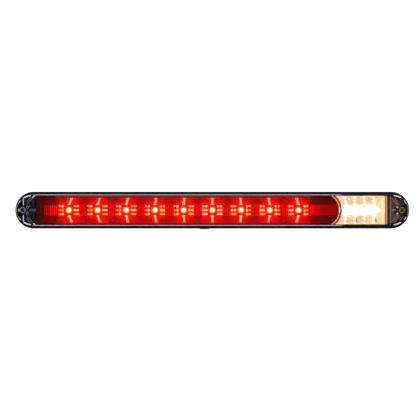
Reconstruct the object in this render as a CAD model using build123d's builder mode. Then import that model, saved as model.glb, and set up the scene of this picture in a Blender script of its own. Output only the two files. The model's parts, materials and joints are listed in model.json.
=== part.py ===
from build123d import *

import math
import os

# Slim sealed LED lamp bar: nine red brake LEDs and a white section of four LEDs at the right end.
# +X runs right along the lamp seen from the front, +Z is up, and the lens faces -Y.
# The origin is the middle of the flat back, halfway between the two mounting holes.
# "Level" below means the distance in front of that back, so a level h lies at y = -h.

# ---- overall sizes ----
lamp_length = 438.0
lamp_height = 41.0
lamp_depth = 25.0

# ---- walls and fits ----
rim_wall = 3.2  # black rim seen above and below the lens
rim_end_wall = 1.7  # the same at the very ends
floor_wall = 2.4  # back wall of the housing
lens_wall = 2.4  # front wall of the outer lens
skirt_wall = 1.1  # side wall of the outer lens, seen edge on as a light line
inner_lens_wall = 1.8
reflector_wall = 1.2
fit_gap = 0.1  # lens in its housing, pins in their holes
part_gap = 0.3  # loose pieces beside each other

# ---- housing ----
lens_proud = 2.2  # lens front ahead of the housing rim
rim_round = 1.0
rim_band = 4.4  # depth of the full-size band behind the rim
body_inset = 0.5  # the body behind that band is this much smaller all round
back_chamfer = 0.6
seat_wall = 1.25  # ledge that carries the lens skirt and its seal
bulkhead_wall = 1.8
end_floor = 5.6  # level of the screw chamber's floor
panel_recess = 0.8  # shallow cells in the back face, with ribs between them
panel_margin = 7.0
panel_cells = 13
panel_rib = 2.0
tab_width = 10.3  # drain tab at the bottom of the rim
tab_centre_x = -8.9
tab_drop = 0.55
tab_proud = 0.7

# ---- mounting holes ----
mount_inset = 8.5  # hole centre from the end of the lamp
mount_hole = 4.5
lens_boss = 7.4
housing_boss = 9.4
boss_split = 13.0  # level where the lens boss meets the housing boss

# ---- lens ribs in the screw chambers ----
rib_wall = 1.1
rib_level = 15.4  # how far back the ribs reach
rib_step = 45.0  # degrees between neighbouring ribs
pip_diameter = 2.2
pip_angle = 38.0
pip_reach = 6.6

# ---- seals ----
seal_height = 0.8
gasket_wall = 4.0
gasket_height = 1.2
gasket_margin = 1.2

# ---- optical chamber ----
screw_chamber = 23.0  # end of the lamp to the inner face of the bulkhead
end_frame = 4.2  # bulkhead to the end of the reflecting field
inner_lens_gap = 2.1  # between inner and outer lens
lip_wall = 0.8
lip_side_gap = 3.25  # lens corner to the end of its lip
lip_drop = 4.6

# ---- light engine ----
red_count = 9
red_first_gap = 29.75  # left end of the field to the first red LED
red_last_gap = 44.3  # last red LED to the divider
white_count = 4
white_pitch = 10.75
white_first_gap = 6.6  # red lens end wall to the first white LED
led_base_side = 5.0
led_base_height = 1.2
white_base_side = 3.6
dome_diameter = 4.6
white_dome_diameter = 3.2
dome_stem = 0.8

# ---- boards ----
board_gap = 3.0  # board back above the housing floor
board_wall = 1.6
board_side_gap = 2.55
board_end_gap = 3.0

# ---- reflectors ----
band_height = 12.1  # middle band, with upright flutes
flute_pitch = 2.22
flute_rise = 0.55
slope_flute_rise = 0.4
led_opening_gap = 0.5
flange_wall = 1.2
post_width = 2.4  # housing posts that locate the red reflector
post_depth = 2.0
post_inset = 4.55  # post centre from the chamber wall

# ---- divider between the two sections ----
white_section = 50.3  # divider to the right end of the field
divider_bow = 9.06  # how far the divider's middle stands ahead of its ends
divider_wall = 1.1
tongue_inset = 1.85  # divider tongue from the chamber wall
end_wall_bow = 6.82  # the same for the red lens end wall
end_wall_gap = 2.3  # divider's middle line to the outer face of that wall
end_wall = 1.6
end_wall_drop = 8.0
wire_arch_height = 4.4
wire_arch_width = 20.0

# ---- leads ----
grommet_bore = 6.0
grommet_body = 10.0
grommet_flange = 14.0
grommet_flange_wall = 1.0
terminal_diameter = 1.2
terminal_length = 4.4
terminal_pitch = 4.5
terminal_first_gap = 10.0  # from the LED beside them
wire_diameter = 1.1
wire_row_z = 4.0

# ---- board screws ----
screw_shank = 2.4
screw_head = 4.6
screw_head_height = 1.5
screw_socket = 1.3
screw_edge = 3.6  # screw centre from the long edge of the board
standoff_diameter = 6.0
pilot_depth = 3.8

# ---- derived levels ----
housing_depth = lamp_depth - lens_proud
lens_back = lamp_depth - lens_wall
inner_lens_front = lens_back - inner_lens_gap
inner_lens_back = inner_lens_front - inner_lens_wall
bulkhead_top = inner_lens_back - part_gap
board_back = floor_wall + board_gap
board_front = board_back + board_wall
band_back = board_front + led_base_height + 0.2
band_front = band_back + reflector_wall

# ---- derived outlines ----
lens_length = lamp_length - 2 * (rim_end_wall + fit_gap)
lens_height = lamp_height - 2 * (rim_wall + fit_gap)
seat_length = lamp_length - 2 * (rim_end_wall + seat_wall)
chamber_height = lamp_height - 2 * (rim_wall + seat_wall)
skirt_back = housing_depth - rim_band - 0.4
ledge_level = skirt_back - seal_height
mount_x = lamp_length / 2 - mount_inset
bulkhead_x = lamp_length / 2 - screw_chamber
field_x = bulkhead_x - end_frame
bulkhead_out = bulkhead_x + bulkhead_wall
lip_out = bulkhead_out + fit_gap + lip_wall
inner_lens_height = chamber_height - 2 * part_gap
skirt_clear_length = lens_length - 2 * (skirt_wall + part_gap)
skirt_clear_height = lens_height - 2 * (skirt_wall + part_gap)
lip_height = inner_lens_height - 2 * lip_side_gap
board_height = chamber_height - 2 * board_side_gap
flange_half = chamber_height / 2 - part_gap
slope_start = band_height / 2
slope_end = flange_half - 0.9
cell_pitch = 2 * (bulkhead_x - panel_margin) / panel_cells
slope_flutes = round((slope_end - slope_start) / flute_pitch)
flange_front = inner_lens_back
flange_back = flange_front - flange_wall


def bow_radius(height, bow):
    """Radius of an arc that spans this height and stands this far ahead in its middle."""
    return (height**2 / 4 + bow**2) / (2 * bow)


divider_apex_x = field_x - white_section
divider_radius = bow_radius(chamber_height, divider_bow)
divider_x = divider_apex_x - divider_radius
divider_outer = divider_radius + divider_wall / 2
divider_inner = divider_radius - divider_wall / 2
tongue_half_height = chamber_height / 2 - tongue_inset
end_wall_apex_x = divider_apex_x + end_wall_gap
end_wall_radius = bow_radius(inner_lens_height, end_wall_bow)
end_wall_x = end_wall_apex_x - end_wall_radius

red_first_x = red_first_gap - field_x
red_pitch = (divider_apex_x - red_last_gap - red_first_x) / (red_count - 1)
red_leds = [red_first_x + k * red_pitch for k in range(red_count)]
white_leds = [end_wall_apex_x + white_first_gap + k * white_pitch for k in range(white_count)]
post_xs = [(red_leds[1] + red_leds[2]) / 2, (red_leds[-2] + red_leds[-1]) / 2]
post_z = chamber_height / 2 - post_inset

red_board_left = -bulkhead_x + board_end_gap
red_board_right = divider_x + math.sqrt(divider_inner**2 - (board_height / 2) ** 2) - board_end_gap / 2
white_board_left = divider_x + divider_outer + board_end_gap / 2
white_board_right = bulkhead_x - board_end_gap

screw_z = board_height / 2 - screw_edge
red_screw_xs = [(red_leds[k] + red_leds[k + 1]) / 2 for k in (0, 3, 4, 6)]
red_screws = [(x, side * screw_z) for x, side in zip(red_screw_xs, (1, -1, 1, -1))]
white_screws = [(white_board_left + screw_head, screw_z), (white_board_right - screw_head, -screw_z)]
link_start_x = red_board_right - 3.0
link_end_x = white_board_left + 3.0
link_rows = [wire_row_z, -wire_row_z]
terminals = [(red_leds[5] + terminal_first_gap + k * terminal_pitch, 0.0) for k in range(4)]

os.makedirs("parts", exist_ok=True)


def level(height):
    """Sketch plane parallel to the back, this far in front of it; extrusions grow to the front."""
    return Plane.XZ.offset(height)


def save(solid, name):
    """Label a finished piece and write it."""
    solid.label = name
    export_step(solid, f"parts/{name}.step")


def rib_angles():
    """Angles of the lens ribs round a mounting boss, 0 pointing to the middle of the lamp."""
    return [k * rib_step for k in range(int(360 / rib_step))]


# ---- housing: black tub with bulkheads, screw bosses, standoffs and a drain tab ----
with BuildPart() as housing:
    with BuildSketch(level(0)):
        SlotOverall(lamp_length - 2 * body_inset, lamp_height - 2 * body_inset)
    extrude(amount=housing_depth - rim_band)
    chamfer(housing.faces().sort_by(Axis.Y)[-1].edges(), back_chamfer)
    with BuildSketch(level(housing_depth - rim_band)):
        SlotOverall(lamp_length, lamp_height)
    extrude(amount=rim_band)
    fillet(housing.faces().sort_by(Axis.Y)[0].edges(), rim_round)
    # drain tab, part of the rim
    with BuildSketch(level(skirt_back)):
        with Locations((tab_centre_x, -lamp_height / 2 - tab_drop)):
            Rectangle(tab_width, rim_wall + tab_drop + skirt_wall, align=(Align.CENTER, Align.MIN))
    extrude(amount=housing_depth + tab_proud - skirt_back)
    # seat for the lens skirt, leaving the tab standing
    with BuildSketch(level(ledge_level)):
        SlotOverall(lens_length + 2 * fit_gap, lens_height + 2 * fit_gap)
        with Locations((tab_centre_x, -lamp_height / 2)):
            Rectangle(
                tab_width, rim_wall + skirt_wall, align=(Align.CENTER, Align.MIN), mode=Mode.SUBTRACT
            )
    extrude(amount=lamp_depth - ledge_level, mode=Mode.SUBTRACT)
    with BuildSketch(level(ledge_level)):
        with Locations((tab_centre_x, -lamp_height / 2 + rim_wall)):
            Rectangle(tab_width, skirt_wall + fit_gap, align=(Align.CENTER, Align.MIN))
    extrude(amount=seal_height, mode=Mode.SUBTRACT)
    # optical chamber
    with BuildSketch(level(floor_wall)):
        Rectangle(2 * bulkhead_x, chamber_height)
    extrude(amount=lamp_depth, mode=Mode.SUBTRACT)
    # the bulkheads stop below the inner lenses
    with BuildSketch(level(bulkhead_top)):
        Rectangle(2 * bulkhead_out, chamber_height)
    extrude(amount=lamp_depth, mode=Mode.SUBTRACT)
    # screw chambers at both ends
    with BuildSketch(level(end_floor)):
        SlotOverall(seat_length, chamber_height)
        Rectangle(2 * bulkhead_out, lamp_height, mode=Mode.SUBTRACT)
    extrude(amount=lamp_depth, mode=Mode.SUBTRACT)
    # screw bosses
    with BuildSketch(level(floor_wall)):
        with Locations((-mount_x, 0), (mount_x, 0)):
            Circle(housing_boss / 2)
    extrude(amount=boss_split - floor_wall)
    with BuildSketch(level(0)):
        with Locations((-mount_x, 0), (mount_x, 0)):
            Circle(mount_hole / 2)
    extrude(amount=boss_split, mode=Mode.SUBTRACT)
    # board standoffs with pilot holes
    with BuildSketch(level(floor_wall)):
        with Locations(*red_screws, *white_screws):
            Circle(standoff_diameter / 2)
    extrude(amount=board_gap)
    with BuildSketch(level(board_back - pilot_depth)):
        with Locations(*red_screws, *white_screws):
            Circle((screw_shank + fit_gap) / 2)
    extrude(amount=pilot_depth, mode=Mode.SUBTRACT)
    # posts that stand in the slots of the red reflector
    with BuildSketch(level(floor_wall)):
        with Locations(*[(x, side * post_z) for x in post_xs for side in (1, -1)]):
            Rectangle(post_width, post_depth)
    extrude(amount=flange_back - floor_wall)
    # back face: gasket groove, shallow field and lead hole
    with BuildSketch(level(0)):
        SlotOverall(
            lamp_length - 2 * (body_inset + gasket_margin), lamp_height - 2 * (body_inset + gasket_margin)
        )
        SlotOverall(
            lamp_length - 2 * (body_inset + gasket_margin + gasket_wall),
            lamp_height - 2 * (body_inset + gasket_margin + gasket_wall),
            mode=Mode.SUBTRACT,
        )
    extrude(amount=gasket_height, mode=Mode.SUBTRACT)
    with BuildSketch(level(0)):
        with GridLocations(cell_pitch, 1, panel_cells, 1):
            RectangleRounded(cell_pitch - panel_rib, chamber_height - panel_margin, 2.0)
        Circle(grommet_flange / 2 + panel_rib, mode=Mode.SUBTRACT)
    extrude(amount=panel_recess, mode=Mode.SUBTRACT)
    with BuildSketch(level(0)):
        Circle((grommet_flange + fit_gap) / 2)
    extrude(amount=grommet_flange_wall, mode=Mode.SUBTRACT)
    with BuildSketch(level(0)):
        Circle(grommet_body / 2)
    extrude(amount=floor_wall, mode=Mode.SUBTRACT)
save(housing.part, "housing")

# ---- outer lens: clear cover with skirt, screw bosses, ribs and hold-down ribs ----
with BuildPart() as outer_lens:
    with BuildSketch(level(lens_back)):
        SlotOverall(lens_length, lens_height)
    extrude(amount=lens_wall)
    fillet(outer_lens.faces().sort_by(Axis.Y)[0].edges(), skirt_wall)
    with BuildSketch(level(skirt_back)):
        SlotOverall(lens_length, lens_height)
        SlotOverall(lens_length - 2 * skirt_wall, lens_height - 2 * skirt_wall, mode=Mode.SUBTRACT)
    extrude(amount=lens_back - skirt_back)
    # screw bosses and radiating ribs: clear of the seat below the skirt, joined to the skirt above
    for low, high, outline_cut in (
        (skirt_back, lens_back, skirt_wall),
        (rib_level, skirt_back, 2 * (skirt_wall + part_gap)),
    ):
        with BuildSketch(level(low)):
            for side in (-1, 1):
                for angle in rib_angles():
                    with Locations(Location((side * mount_x, 0), angle)):
                        Rectangle(lamp_height, rib_wall, align=(Align.MIN, Align.CENTER))
            SlotOverall(lens_length - outline_cut, lens_height - outline_cut, mode=Mode.INTERSECT)
            Rectangle(2 * (lip_out + fit_gap), lamp_height, mode=Mode.SUBTRACT)
        extrude(amount=high - low)
    for low, high, outline_cut in (
        (skirt_back, lens_back, skirt_wall),
        (boss_split, skirt_back, 2 * (skirt_wall + part_gap)),
    ):
        with BuildSketch(level(low)):
            with Locations((-mount_x, 0), (mount_x, 0)):
                Circle(lens_boss / 2)
            SlotOverall(lens_length - outline_cut, lens_height - outline_cut, mode=Mode.INTERSECT)
        extrude(amount=high - low)
    # short ribs that hold the inner lenses down
    with BuildSketch(level(inner_lens_front)):
        with Locations((-lip_out, 0), (lip_out, 0)):
            Rectangle(2 * rib_wall + lip_out - bulkhead_x, rib_wall)
    extrude(amount=inner_lens_gap)
    # small pips beside each boss
    with BuildSketch(level(rib_level)):
        for side in (-1, 1):
            for up in (-1, 1):
                reach_x = pip_reach * math.cos(math.radians(pip_angle))
                reach_z = pip_reach * math.sin(math.radians(pip_angle))
                with Locations((side * (mount_x - reach_x), up * reach_z)):
                    Circle(pip_diameter / 2)
    extrude(amount=lens_back - rib_level)
    with BuildSketch(level(boss_split)):
        with Locations((-mount_x, 0), (mount_x, 0)):
            Circle(mount_hole / 2)
    extrude(amount=lamp_depth - boss_split, mode=Mode.SUBTRACT)
    # notch for the drain tab of the housing
    with BuildSketch(level(skirt_back)):
        with Locations((tab_centre_x, -lamp_height / 2)):
            Rectangle(
                tab_width + 2 * fit_gap,
                rim_wall + skirt_wall + fit_gap,
                align=(Align.CENTER, Align.MIN),
            )
    extrude(amount=lamp_depth - skirt_back, mode=Mode.SUBTRACT)
save(outer_lens.part, "outer_lens")

# ---- lens seal: bead of sealant between the ledge and the lens skirt ----
with BuildPart() as lens_seal:
    with BuildSketch(level(ledge_level)):
        SlotOverall(lens_length, lens_height)
        SlotOverall(lens_length - 2 * skirt_wall, lens_height - 2 * skirt_wall, mode=Mode.SUBTRACT)
    extrude(amount=seal_height)
save(lens_seal.part, "lens_seal")

# ---- rear gasket: foam ring in the groove of the back face ----
with BuildPart() as rear_gasket:
    with BuildSketch(level(0)):
        outer_margin = body_inset + gasket_margin + fit_gap
        inner_margin = body_inset + gasket_margin + gasket_wall - fit_gap
        SlotOverall(lamp_length - 2 * outer_margin, lamp_height - 2 * outer_margin)
        SlotOverall(lamp_length - 2 * inner_margin, lamp_height - 2 * inner_margin, mode=Mode.SUBTRACT)
    extrude(amount=gasket_height)
save(rear_gasket.part, "rear_gasket")

# ---- lead grommet: rubber bush with a flange on each side of the housing floor ----
with BuildPart() as lead_grommet:
    with BuildSketch(level(0)):
        Circle(grommet_flange / 2)
    extrude(amount=grommet_flange_wall)
    with BuildSketch(level(0)):
        Circle(grommet_body / 2)
    extrude(amount=floor_wall)
    with BuildSketch(level(floor_wall)):
        Circle(grommet_flange / 2 - 1.0)
    extrude(amount=grommet_flange_wall)
    with BuildSketch(level(0)):
        Circle(grommet_bore / 2)
    extrude(amount=board_back, mode=Mode.SUBTRACT)
save(lead_grommet.part, "lead_grommet")

# ---- red inner lens: tinted plate, hooked over the left bulkhead, rounded end wall on the right ----
with BuildPart() as red_inner_lens:
    with BuildSketch(level(inner_lens_back)):
        with Locations((-lip_out, 0)):
            Rectangle(lip_out + end_wall_x, inner_lens_height, align=(Align.MIN, Align.CENTER))
        with Locations((end_wall_x, 0)):
            Circle(end_wall_radius)
        with Locations((-lamp_length / 2, 0)):
            Rectangle(lamp_length, inner_lens_height, align=(Align.MIN, Align.CENTER), mode=Mode.INTERSECT)
        SlotOverall(skirt_clear_length, skirt_clear_height, mode=Mode.INTERSECT)
    extrude(amount=inner_lens_wall)
    # end wall that drops behind the divider
    with BuildSketch(level(inner_lens_back - end_wall_drop)):
        with Locations((end_wall_x, 0)):
            Circle(end_wall_radius)
            Circle(end_wall_radius - end_wall, mode=Mode.SUBTRACT)
        with Locations((divider_x + divider_wall, 0)):
            Rectangle(lamp_height, inner_lens_height, align=(Align.MIN, Align.CENTER), mode=Mode.INTERSECT)
    extrude(amount=end_wall_drop)
    # slot for the divider's tongue
    with BuildSketch(level(inner_lens_back)):
        with Locations((divider_x, 0)):
            Circle(divider_outer + fit_gap)
            Circle(divider_inner - fit_gap, mode=Mode.SUBTRACT)
            Rectangle(
                lamp_height,
                2 * (tongue_half_height + fit_gap),
                align=(Align.MIN, Align.CENTER),
                mode=Mode.INTERSECT,
            )
    extrude(amount=inner_lens_wall, mode=Mode.SUBTRACT)
    # lip over the left bulkhead
    with BuildSketch(level(inner_lens_back - lip_drop)):
        with Locations((-lip_out, 0)):
            Rectangle(lip_wall, lip_height, align=(Align.MIN, Align.CENTER))
    extrude(amount=lip_drop)
save(red_inner_lens.part, "red_inner_lens")

# ---- clear inner lens: plate over the white section, hooked over the right bulkhead ----
with BuildPart() as clear_inner_lens:
    with BuildSketch(level(inner_lens_back)):
        with Locations((lip_out, 0)):
            Rectangle(lip_out - end_wall_x, inner_lens_height, align=(Align.MAX, Align.CENTER))
        with Locations((end_wall_x, 0)):
            Circle(end_wall_radius + part_gap, mode=Mode.SUBTRACT)
        SlotOverall(skirt_clear_length, skirt_clear_height, mode=Mode.INTERSECT)
    extrude(amount=inner_lens_wall)
    with BuildSketch(level(inner_lens_back - lip_drop)):
        with Locations((lip_out, 0)):
            Rectangle(lip_wall, lip_height, align=(Align.MAX, Align.CENTER))
    extrude(amount=lip_drop)
save(clear_inner_lens.part, "clear_inner_lens")

# ---- section divider: curved bright wall that keeps the two colours apart ----
with BuildPart() as section_divider:
    with BuildSketch(level(floor_wall)):
        with Locations((divider_x, 0)):
            Circle(divider_outer)
            Circle(divider_inner, mode=Mode.SUBTRACT)
            Rectangle(
                lamp_height,
                chamber_height - 2 * fit_gap,
                align=(Align.MIN, Align.CENTER),
                mode=Mode.INTERSECT,
            )
    extrude(amount=inner_lens_back - fit_gap - floor_wall)
    with BuildSketch(level(inner_lens_back - fit_gap)):
        with Locations((divider_x, 0)):
            Circle(divider_outer)
            Circle(divider_inner, mode=Mode.SUBTRACT)
            Rectangle(
                lamp_height, 2 * tongue_half_height, align=(Align.MIN, Align.CENTER), mode=Mode.INTERSECT
            )
    extrude(amount=inner_lens_wall + fit_gap)
    # arch over the link wires and the floor in the middle
    with BuildSketch(level(floor_wall)):
        with Locations((divider_x, 0)):
            Rectangle(lamp_height, wire_arch_width, align=(Align.MIN, Align.CENTER))
    extrude(amount=wire_arch_height, mode=Mode.SUBTRACT)
save(section_divider.part, "section_divider")


# ---- reflectors: bright troughs, upright flutes in the middle band, lengthwise flutes on the slopes ----
def slope_profile(side):
    """Closed outline in the YZ plane of one sloping wall with its flange; side is 1 up, -1 down."""
    run = (slope_end - slope_start) / slope_flutes
    rise = (flange_front - band_front) / slope_flutes
    normal = math.hypot(run, rise)
    for k in range(slope_flutes):
        z_low = slope_start + k * run
        h_low = band_front + k * rise
        z_mid = z_low + run / 2 - slope_flute_rise * rise / normal
        h_mid = h_low + rise / 2 + slope_flute_rise * run / normal
        ThreePointArc(
            (-h_low, side * z_low),
            (-h_mid, side * z_mid),
            (-(h_low + rise), side * (z_low + run)),
        )
    Polyline(
        (-flange_front, side * slope_end),
        (-flange_front, side * flange_half),
        (-flange_back, side * flange_half),
        (-flange_back, side * (slope_end + 0.3)),
        (-band_back, side * (slope_start + 0.3)),
        (-band_back, side * (slope_start - 1.0)),
        (-band_front, side * (slope_start - 1.0)),
        (-band_front, side * slope_start),
    )


def flute_edge(x_from, x_to):
    """Scalloped front edge of the middle band in the XY plane, closed along its back."""
    count = max(1, round((x_to - x_from) / flute_pitch))
    pitch = (x_to - x_from) / count
    for k in range(count):
        x_low = x_from + k * pitch
        ThreePointArc(
            (x_low, -band_front),
            (x_low + pitch / 2, -band_front - flute_rise),
            (x_low + pitch, -band_front),
        )
    Polyline((x_to, -band_front), (x_to, -band_back), (x_from, -band_back), (x_from, -band_front))


# Red reflector: closed at the left, following the divider's curve at the right.
red_right_radius = divider_inner - part_gap
with BuildPart() as red_reflector:
    for side in (1, -1):
        with BuildSketch(Plane.YZ.offset(-field_x)):
            with BuildLine():
                slope_profile(side)
            make_face()
        extrude(amount=field_x + divider_apex_x)
    with BuildSketch(Plane.XY.offset(-slope_start)):
        with BuildLine():
            flute_edge(-field_x, divider_x + red_right_radius)
        make_face()
    extrude(amount=band_height)
    # left end wall and its flange over the bulkhead side
    with BuildSketch(level(band_back)):
        with Locations((-field_x, 0)):
            Rectangle(reflector_wall, 2 * flange_half, align=(Align.MAX, Align.CENTER))
    extrude(amount=flange_front - band_back)
    with BuildSketch(level(flange_back)):
        with Locations((-field_x, 0)):
            Rectangle(
                bulkhead_x - part_gap - field_x, 2 * flange_half, align=(Align.MAX, Align.CENTER)
            )
    extrude(amount=flange_wall)
    # feet that stand on the board, between the LEDs
    with BuildSketch(level(board_front)):
        with Locations(*[((red_leds[k] + red_leds[k + 1]) / 2, 0) for k in range(0, red_count - 1, 2)]):
            Circle(1.5)
    extrude(amount=band_back - board_front)
    with BuildSketch(level(board_front)):
        with Locations((divider_x, 0)):
            Circle(red_right_radius)
        with Locations((divider_x, 0)):
            Rectangle(lamp_length, lamp_height, align=(Align.MAX, Align.CENTER))
    extrude(amount=lamp_depth, mode=Mode.INTERSECT)
    with BuildSketch(level(board_front)):
        with Locations(*[(x, 0) for x in red_leds]):
            Circle(dome_diameter / 2 + led_opening_gap)
    extrude(amount=lamp_depth, mode=Mode.SUBTRACT)
    # slots for the housing posts
    with BuildSketch(level(board_front)):
        with Locations(*[(x, side * post_z) for x in post_xs for side in (1, -1)]):
            Rectangle(post_width + 2 * fit_gap, post_depth + 2 * fit_gap)
    extrude(amount=lamp_depth, mode=Mode.SUBTRACT)
save(red_reflector.part, "red_reflector")

# White reflector: same trough, hollowed round the red lens end wall at the left, closed at the right.
white_left_radius = end_wall_radius + part_gap
with BuildPart() as white_reflector:
    for side in (1, -1):
        with BuildSketch(Plane.YZ.offset(divider_x)):
            with BuildLine():
                slope_profile(side)
            make_face()
        extrude(amount=field_x - divider_x)
    with BuildSketch(Plane.XY.offset(-slope_start)):
        with BuildLine():
            flute_edge(divider_x, field_x)
        make_face()
    extrude(amount=band_height)
    with BuildSketch(level(band_back)):
        with Locations((field_x, 0)):
            Rectangle(reflector_wall, 2 * flange_half, align=(Align.MIN, Align.CENTER))
    extrude(amount=flange_front - band_back)
    with BuildSketch(level(flange_back)):
        with Locations((field_x, 0)):
            Rectangle(
                bulkhead_x - part_gap - field_x, 2 * flange_half, align=(Align.MIN, Align.CENTER)
            )
    extrude(amount=flange_wall)
    with BuildSketch(level(board_front)):
        with Locations(*[((white_leds[k] + white_leds[k + 1]) / 2, 0) for k in (0, 2)]):
            Circle(1.5)
    extrude(amount=band_back - board_front)
    with BuildSketch(level(board_front)):
        with Locations((end_wall_x, 0)):
            Circle(white_left_radius)
    extrude(amount=lamp_depth, mode=Mode.SUBTRACT)
    with BuildSketch(level(board_front)):
        with Locations(*[(x, 0) for x in white_leds]):
            Circle(white_dome_diameter / 2 + led_opening_gap)
    extrude(amount=lamp_depth, mode=Mode.SUBTRACT)
save(white_reflector.part, "white_reflector")

# ---- circuit boards ----
with BuildPart() as red_circuit_board:
    with BuildSketch(level(board_back)):
        with Locations(((red_board_left + red_board_right) / 2, 0)):
            RectangleRounded(red_board_right - red_board_left, board_height, 1.0)
        with Locations(*red_screws):
            Circle(screw_shank / 2 + fit_gap, mode=Mode.SUBTRACT)
        with Locations(*[(link_start_x, z) for z in link_rows]):
            Circle(wire_diameter / 2 + fit_gap, mode=Mode.SUBTRACT)
        with Locations(*terminals):
            Circle(terminal_diameter / 2 + fit_gap / 2, mode=Mode.SUBTRACT)
        with Locations(*[(x, side * post_z) for x in post_xs for side in (1, -1)]):
            Rectangle(post_width + 4 * fit_gap, post_depth + 4 * fit_gap, mode=Mode.SUBTRACT)
    extrude(amount=board_wall)
save(red_circuit_board.part, "red_circuit_board")

with BuildPart() as white_circuit_board:
    with BuildSketch(level(board_back)):
        with Locations(((white_board_left + white_board_right) / 2, 0)):
            RectangleRounded(white_board_right - white_board_left, board_height, 1.0)
        with Locations(*white_screws):
            Circle(screw_shank / 2 + fit_gap, mode=Mode.SUBTRACT)
        with Locations(*[(link_end_x, z) for z in link_rows]):
            Circle(wire_diameter / 2 + fit_gap, mode=Mode.SUBTRACT)
    extrude(amount=board_wall)
save(white_circuit_board.part, "white_circuit_board")


# ---- LEDs: a square base on the board and a round dome on it ----
def make_led(name, x, base_side, dome_size):
    """One LED as two pieces, NAME_base and NAME_dome, centred on the band at this x."""
    with BuildPart() as base:
        with BuildSketch(level(board_front)):
            with Locations((x, 0)):
                RectangleRounded(base_side, base_side, 0.4)
        extrude(amount=led_base_height)
    save(base.part, f"{name}_base")
    dome_seat = board_front + led_base_height
    with BuildPart() as dome:
        with BuildSketch(level(dome_seat)):
            with Locations((x, 0)):
                Circle(dome_size / 2)
        extrude(amount=dome_stem)
        with Locations((x, -(dome_seat + dome_stem), 0)):
            Sphere(dome_size / 2)
        split(bisect_by=level(dome_seat), keep=Keep.TOP)
    save(dome.part, f"{name}_dome")


for k, x in enumerate(red_leds):
    make_led(f"red_led_{k + 1}", x, led_base_side, dome_diameter)
for k, x in enumerate(white_leds):
    make_led(f"white_led_{k + 1}", x, white_base_side, white_dome_diameter)


# ---- board screws, resistors and other board parts ----
def make_screws(name, places):
    """Pan head screws through the board into the standoffs, one solid each, in one node."""
    with BuildPart() as screws:
        with BuildSketch(level(board_back - pilot_depth + part_gap)):
            with Locations(*places):
                Circle(screw_shank / 2)
        extrude(amount=board_front - board_back + pilot_depth - part_gap)
        with BuildSketch(level(board_front)):
            with Locations(*places):
                Circle(screw_head / 2)
        extrude(amount=screw_head_height)
        with BuildSketch(level(board_front + screw_head_height - screw_socket / 2)):
            with Locations(*places):
                RegularPolygon(screw_socket, 6)
        extrude(amount=screw_socket / 2, mode=Mode.SUBTRACT)
    save(screws.part, name)


def make_chips(name, places, length, height, thickness):
    """Small rectangular board parts, one solid each, standing on the front of the board."""
    with BuildPart() as chips:
        with BuildSketch(level(board_front)):
            with Locations(*places):
                Rectangle(length, height)
        extrude(amount=thickness)
    save(chips.part, name)


make_screws("red_board_screws", red_screws)
make_screws("white_board_screws", white_screws)

part_row = band_height / 2 + 3.6
white_board_middle = (white_board_left + white_board_right) / 2
make_chips("red_resistors", [(x + 5.0, part_row) for x in red_leds], 3.2, 1.6, 0.6)
make_chips("white_resistors", [(x, part_row - 0.6) for x in white_leds[1:3]], 3.2, 1.6, 0.6)
make_chips("red_driver_chip", [(red_leds[4] + 3.0, -part_row)], 5.0, 4.0, 1.4)
make_chips("white_driver_chip", [(white_board_middle - 6.0, -part_row)], 5.0, 4.0, 1.4)
make_chips("brake_input_diode", [(terminals[1][0] + 1.0, -part_row)], 4.6, 2.7, 2.0)
make_chips("tail_input_diode", [(terminals[1][0] + 11.0, -part_row)], 4.6, 2.7, 2.0)
make_chips("white_input_diode", [(white_board_middle + 4.0, -part_row)], 4.6, 2.7, 2.0)
make_chips("surge_suppressor", [(terminals[1][0] - 9.0, -part_row)], 5.2, 3.6, 2.1)
make_chips("red_filter_capacitor", [(red_leds[3] + 8.0, -part_row)], 3.2, 2.5, 1.8)
make_chips("white_filter_capacitor", [(white_leds[3] + 1.0, part_row)], 3.2, 2.5, 1.8)

# ---- lead terminals: four solder posts behind the red board ----
with BuildPart() as lead_terminals:
    with BuildSketch(level(board_front + 0.6 - terminal_length)):
        with Locations(*terminals):
            Circle(terminal_diameter / 2)
    extrude(amount=terminal_length)
save(lead_terminals.part, "lead_terminals")


# ---- link wires: staples of stiff wire between the two boards, passing under the divider ----
def make_link_wire(name, z):
    """A wire bent down through both boards, running along the back of them at this height."""
    run_level = board_back - wire_diameter / 2 - 0.6
    top = board_front + 0.6
    with BuildPart() as wire:
        with BuildLine() as route:
            FilletPolyline(
                (link_start_x, -top, z),
                (link_start_x, -run_level, z),
                (link_end_x, -run_level, z),
                (link_end_x, -top, z),
                radius=wire_diameter,
            )
        with BuildSketch(Plane(origin=(link_start_x, -top, z), x_dir=(1, 0, 0), z_dir=(0, 1, 0))):
            Circle(wire_diameter / 2)
        sweep(path=route.wires()[0])
    save(wire.part, name)


make_link_wire("link_wire_supply", link_rows[0])
make_link_wire("link_wire_ground", link_rows[1])
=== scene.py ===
"""Third brake light: the looks of a slim LED lamp bar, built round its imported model, in metres."""

import json
import logging
import math
from dataclasses import dataclass
from enum import Enum

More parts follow.
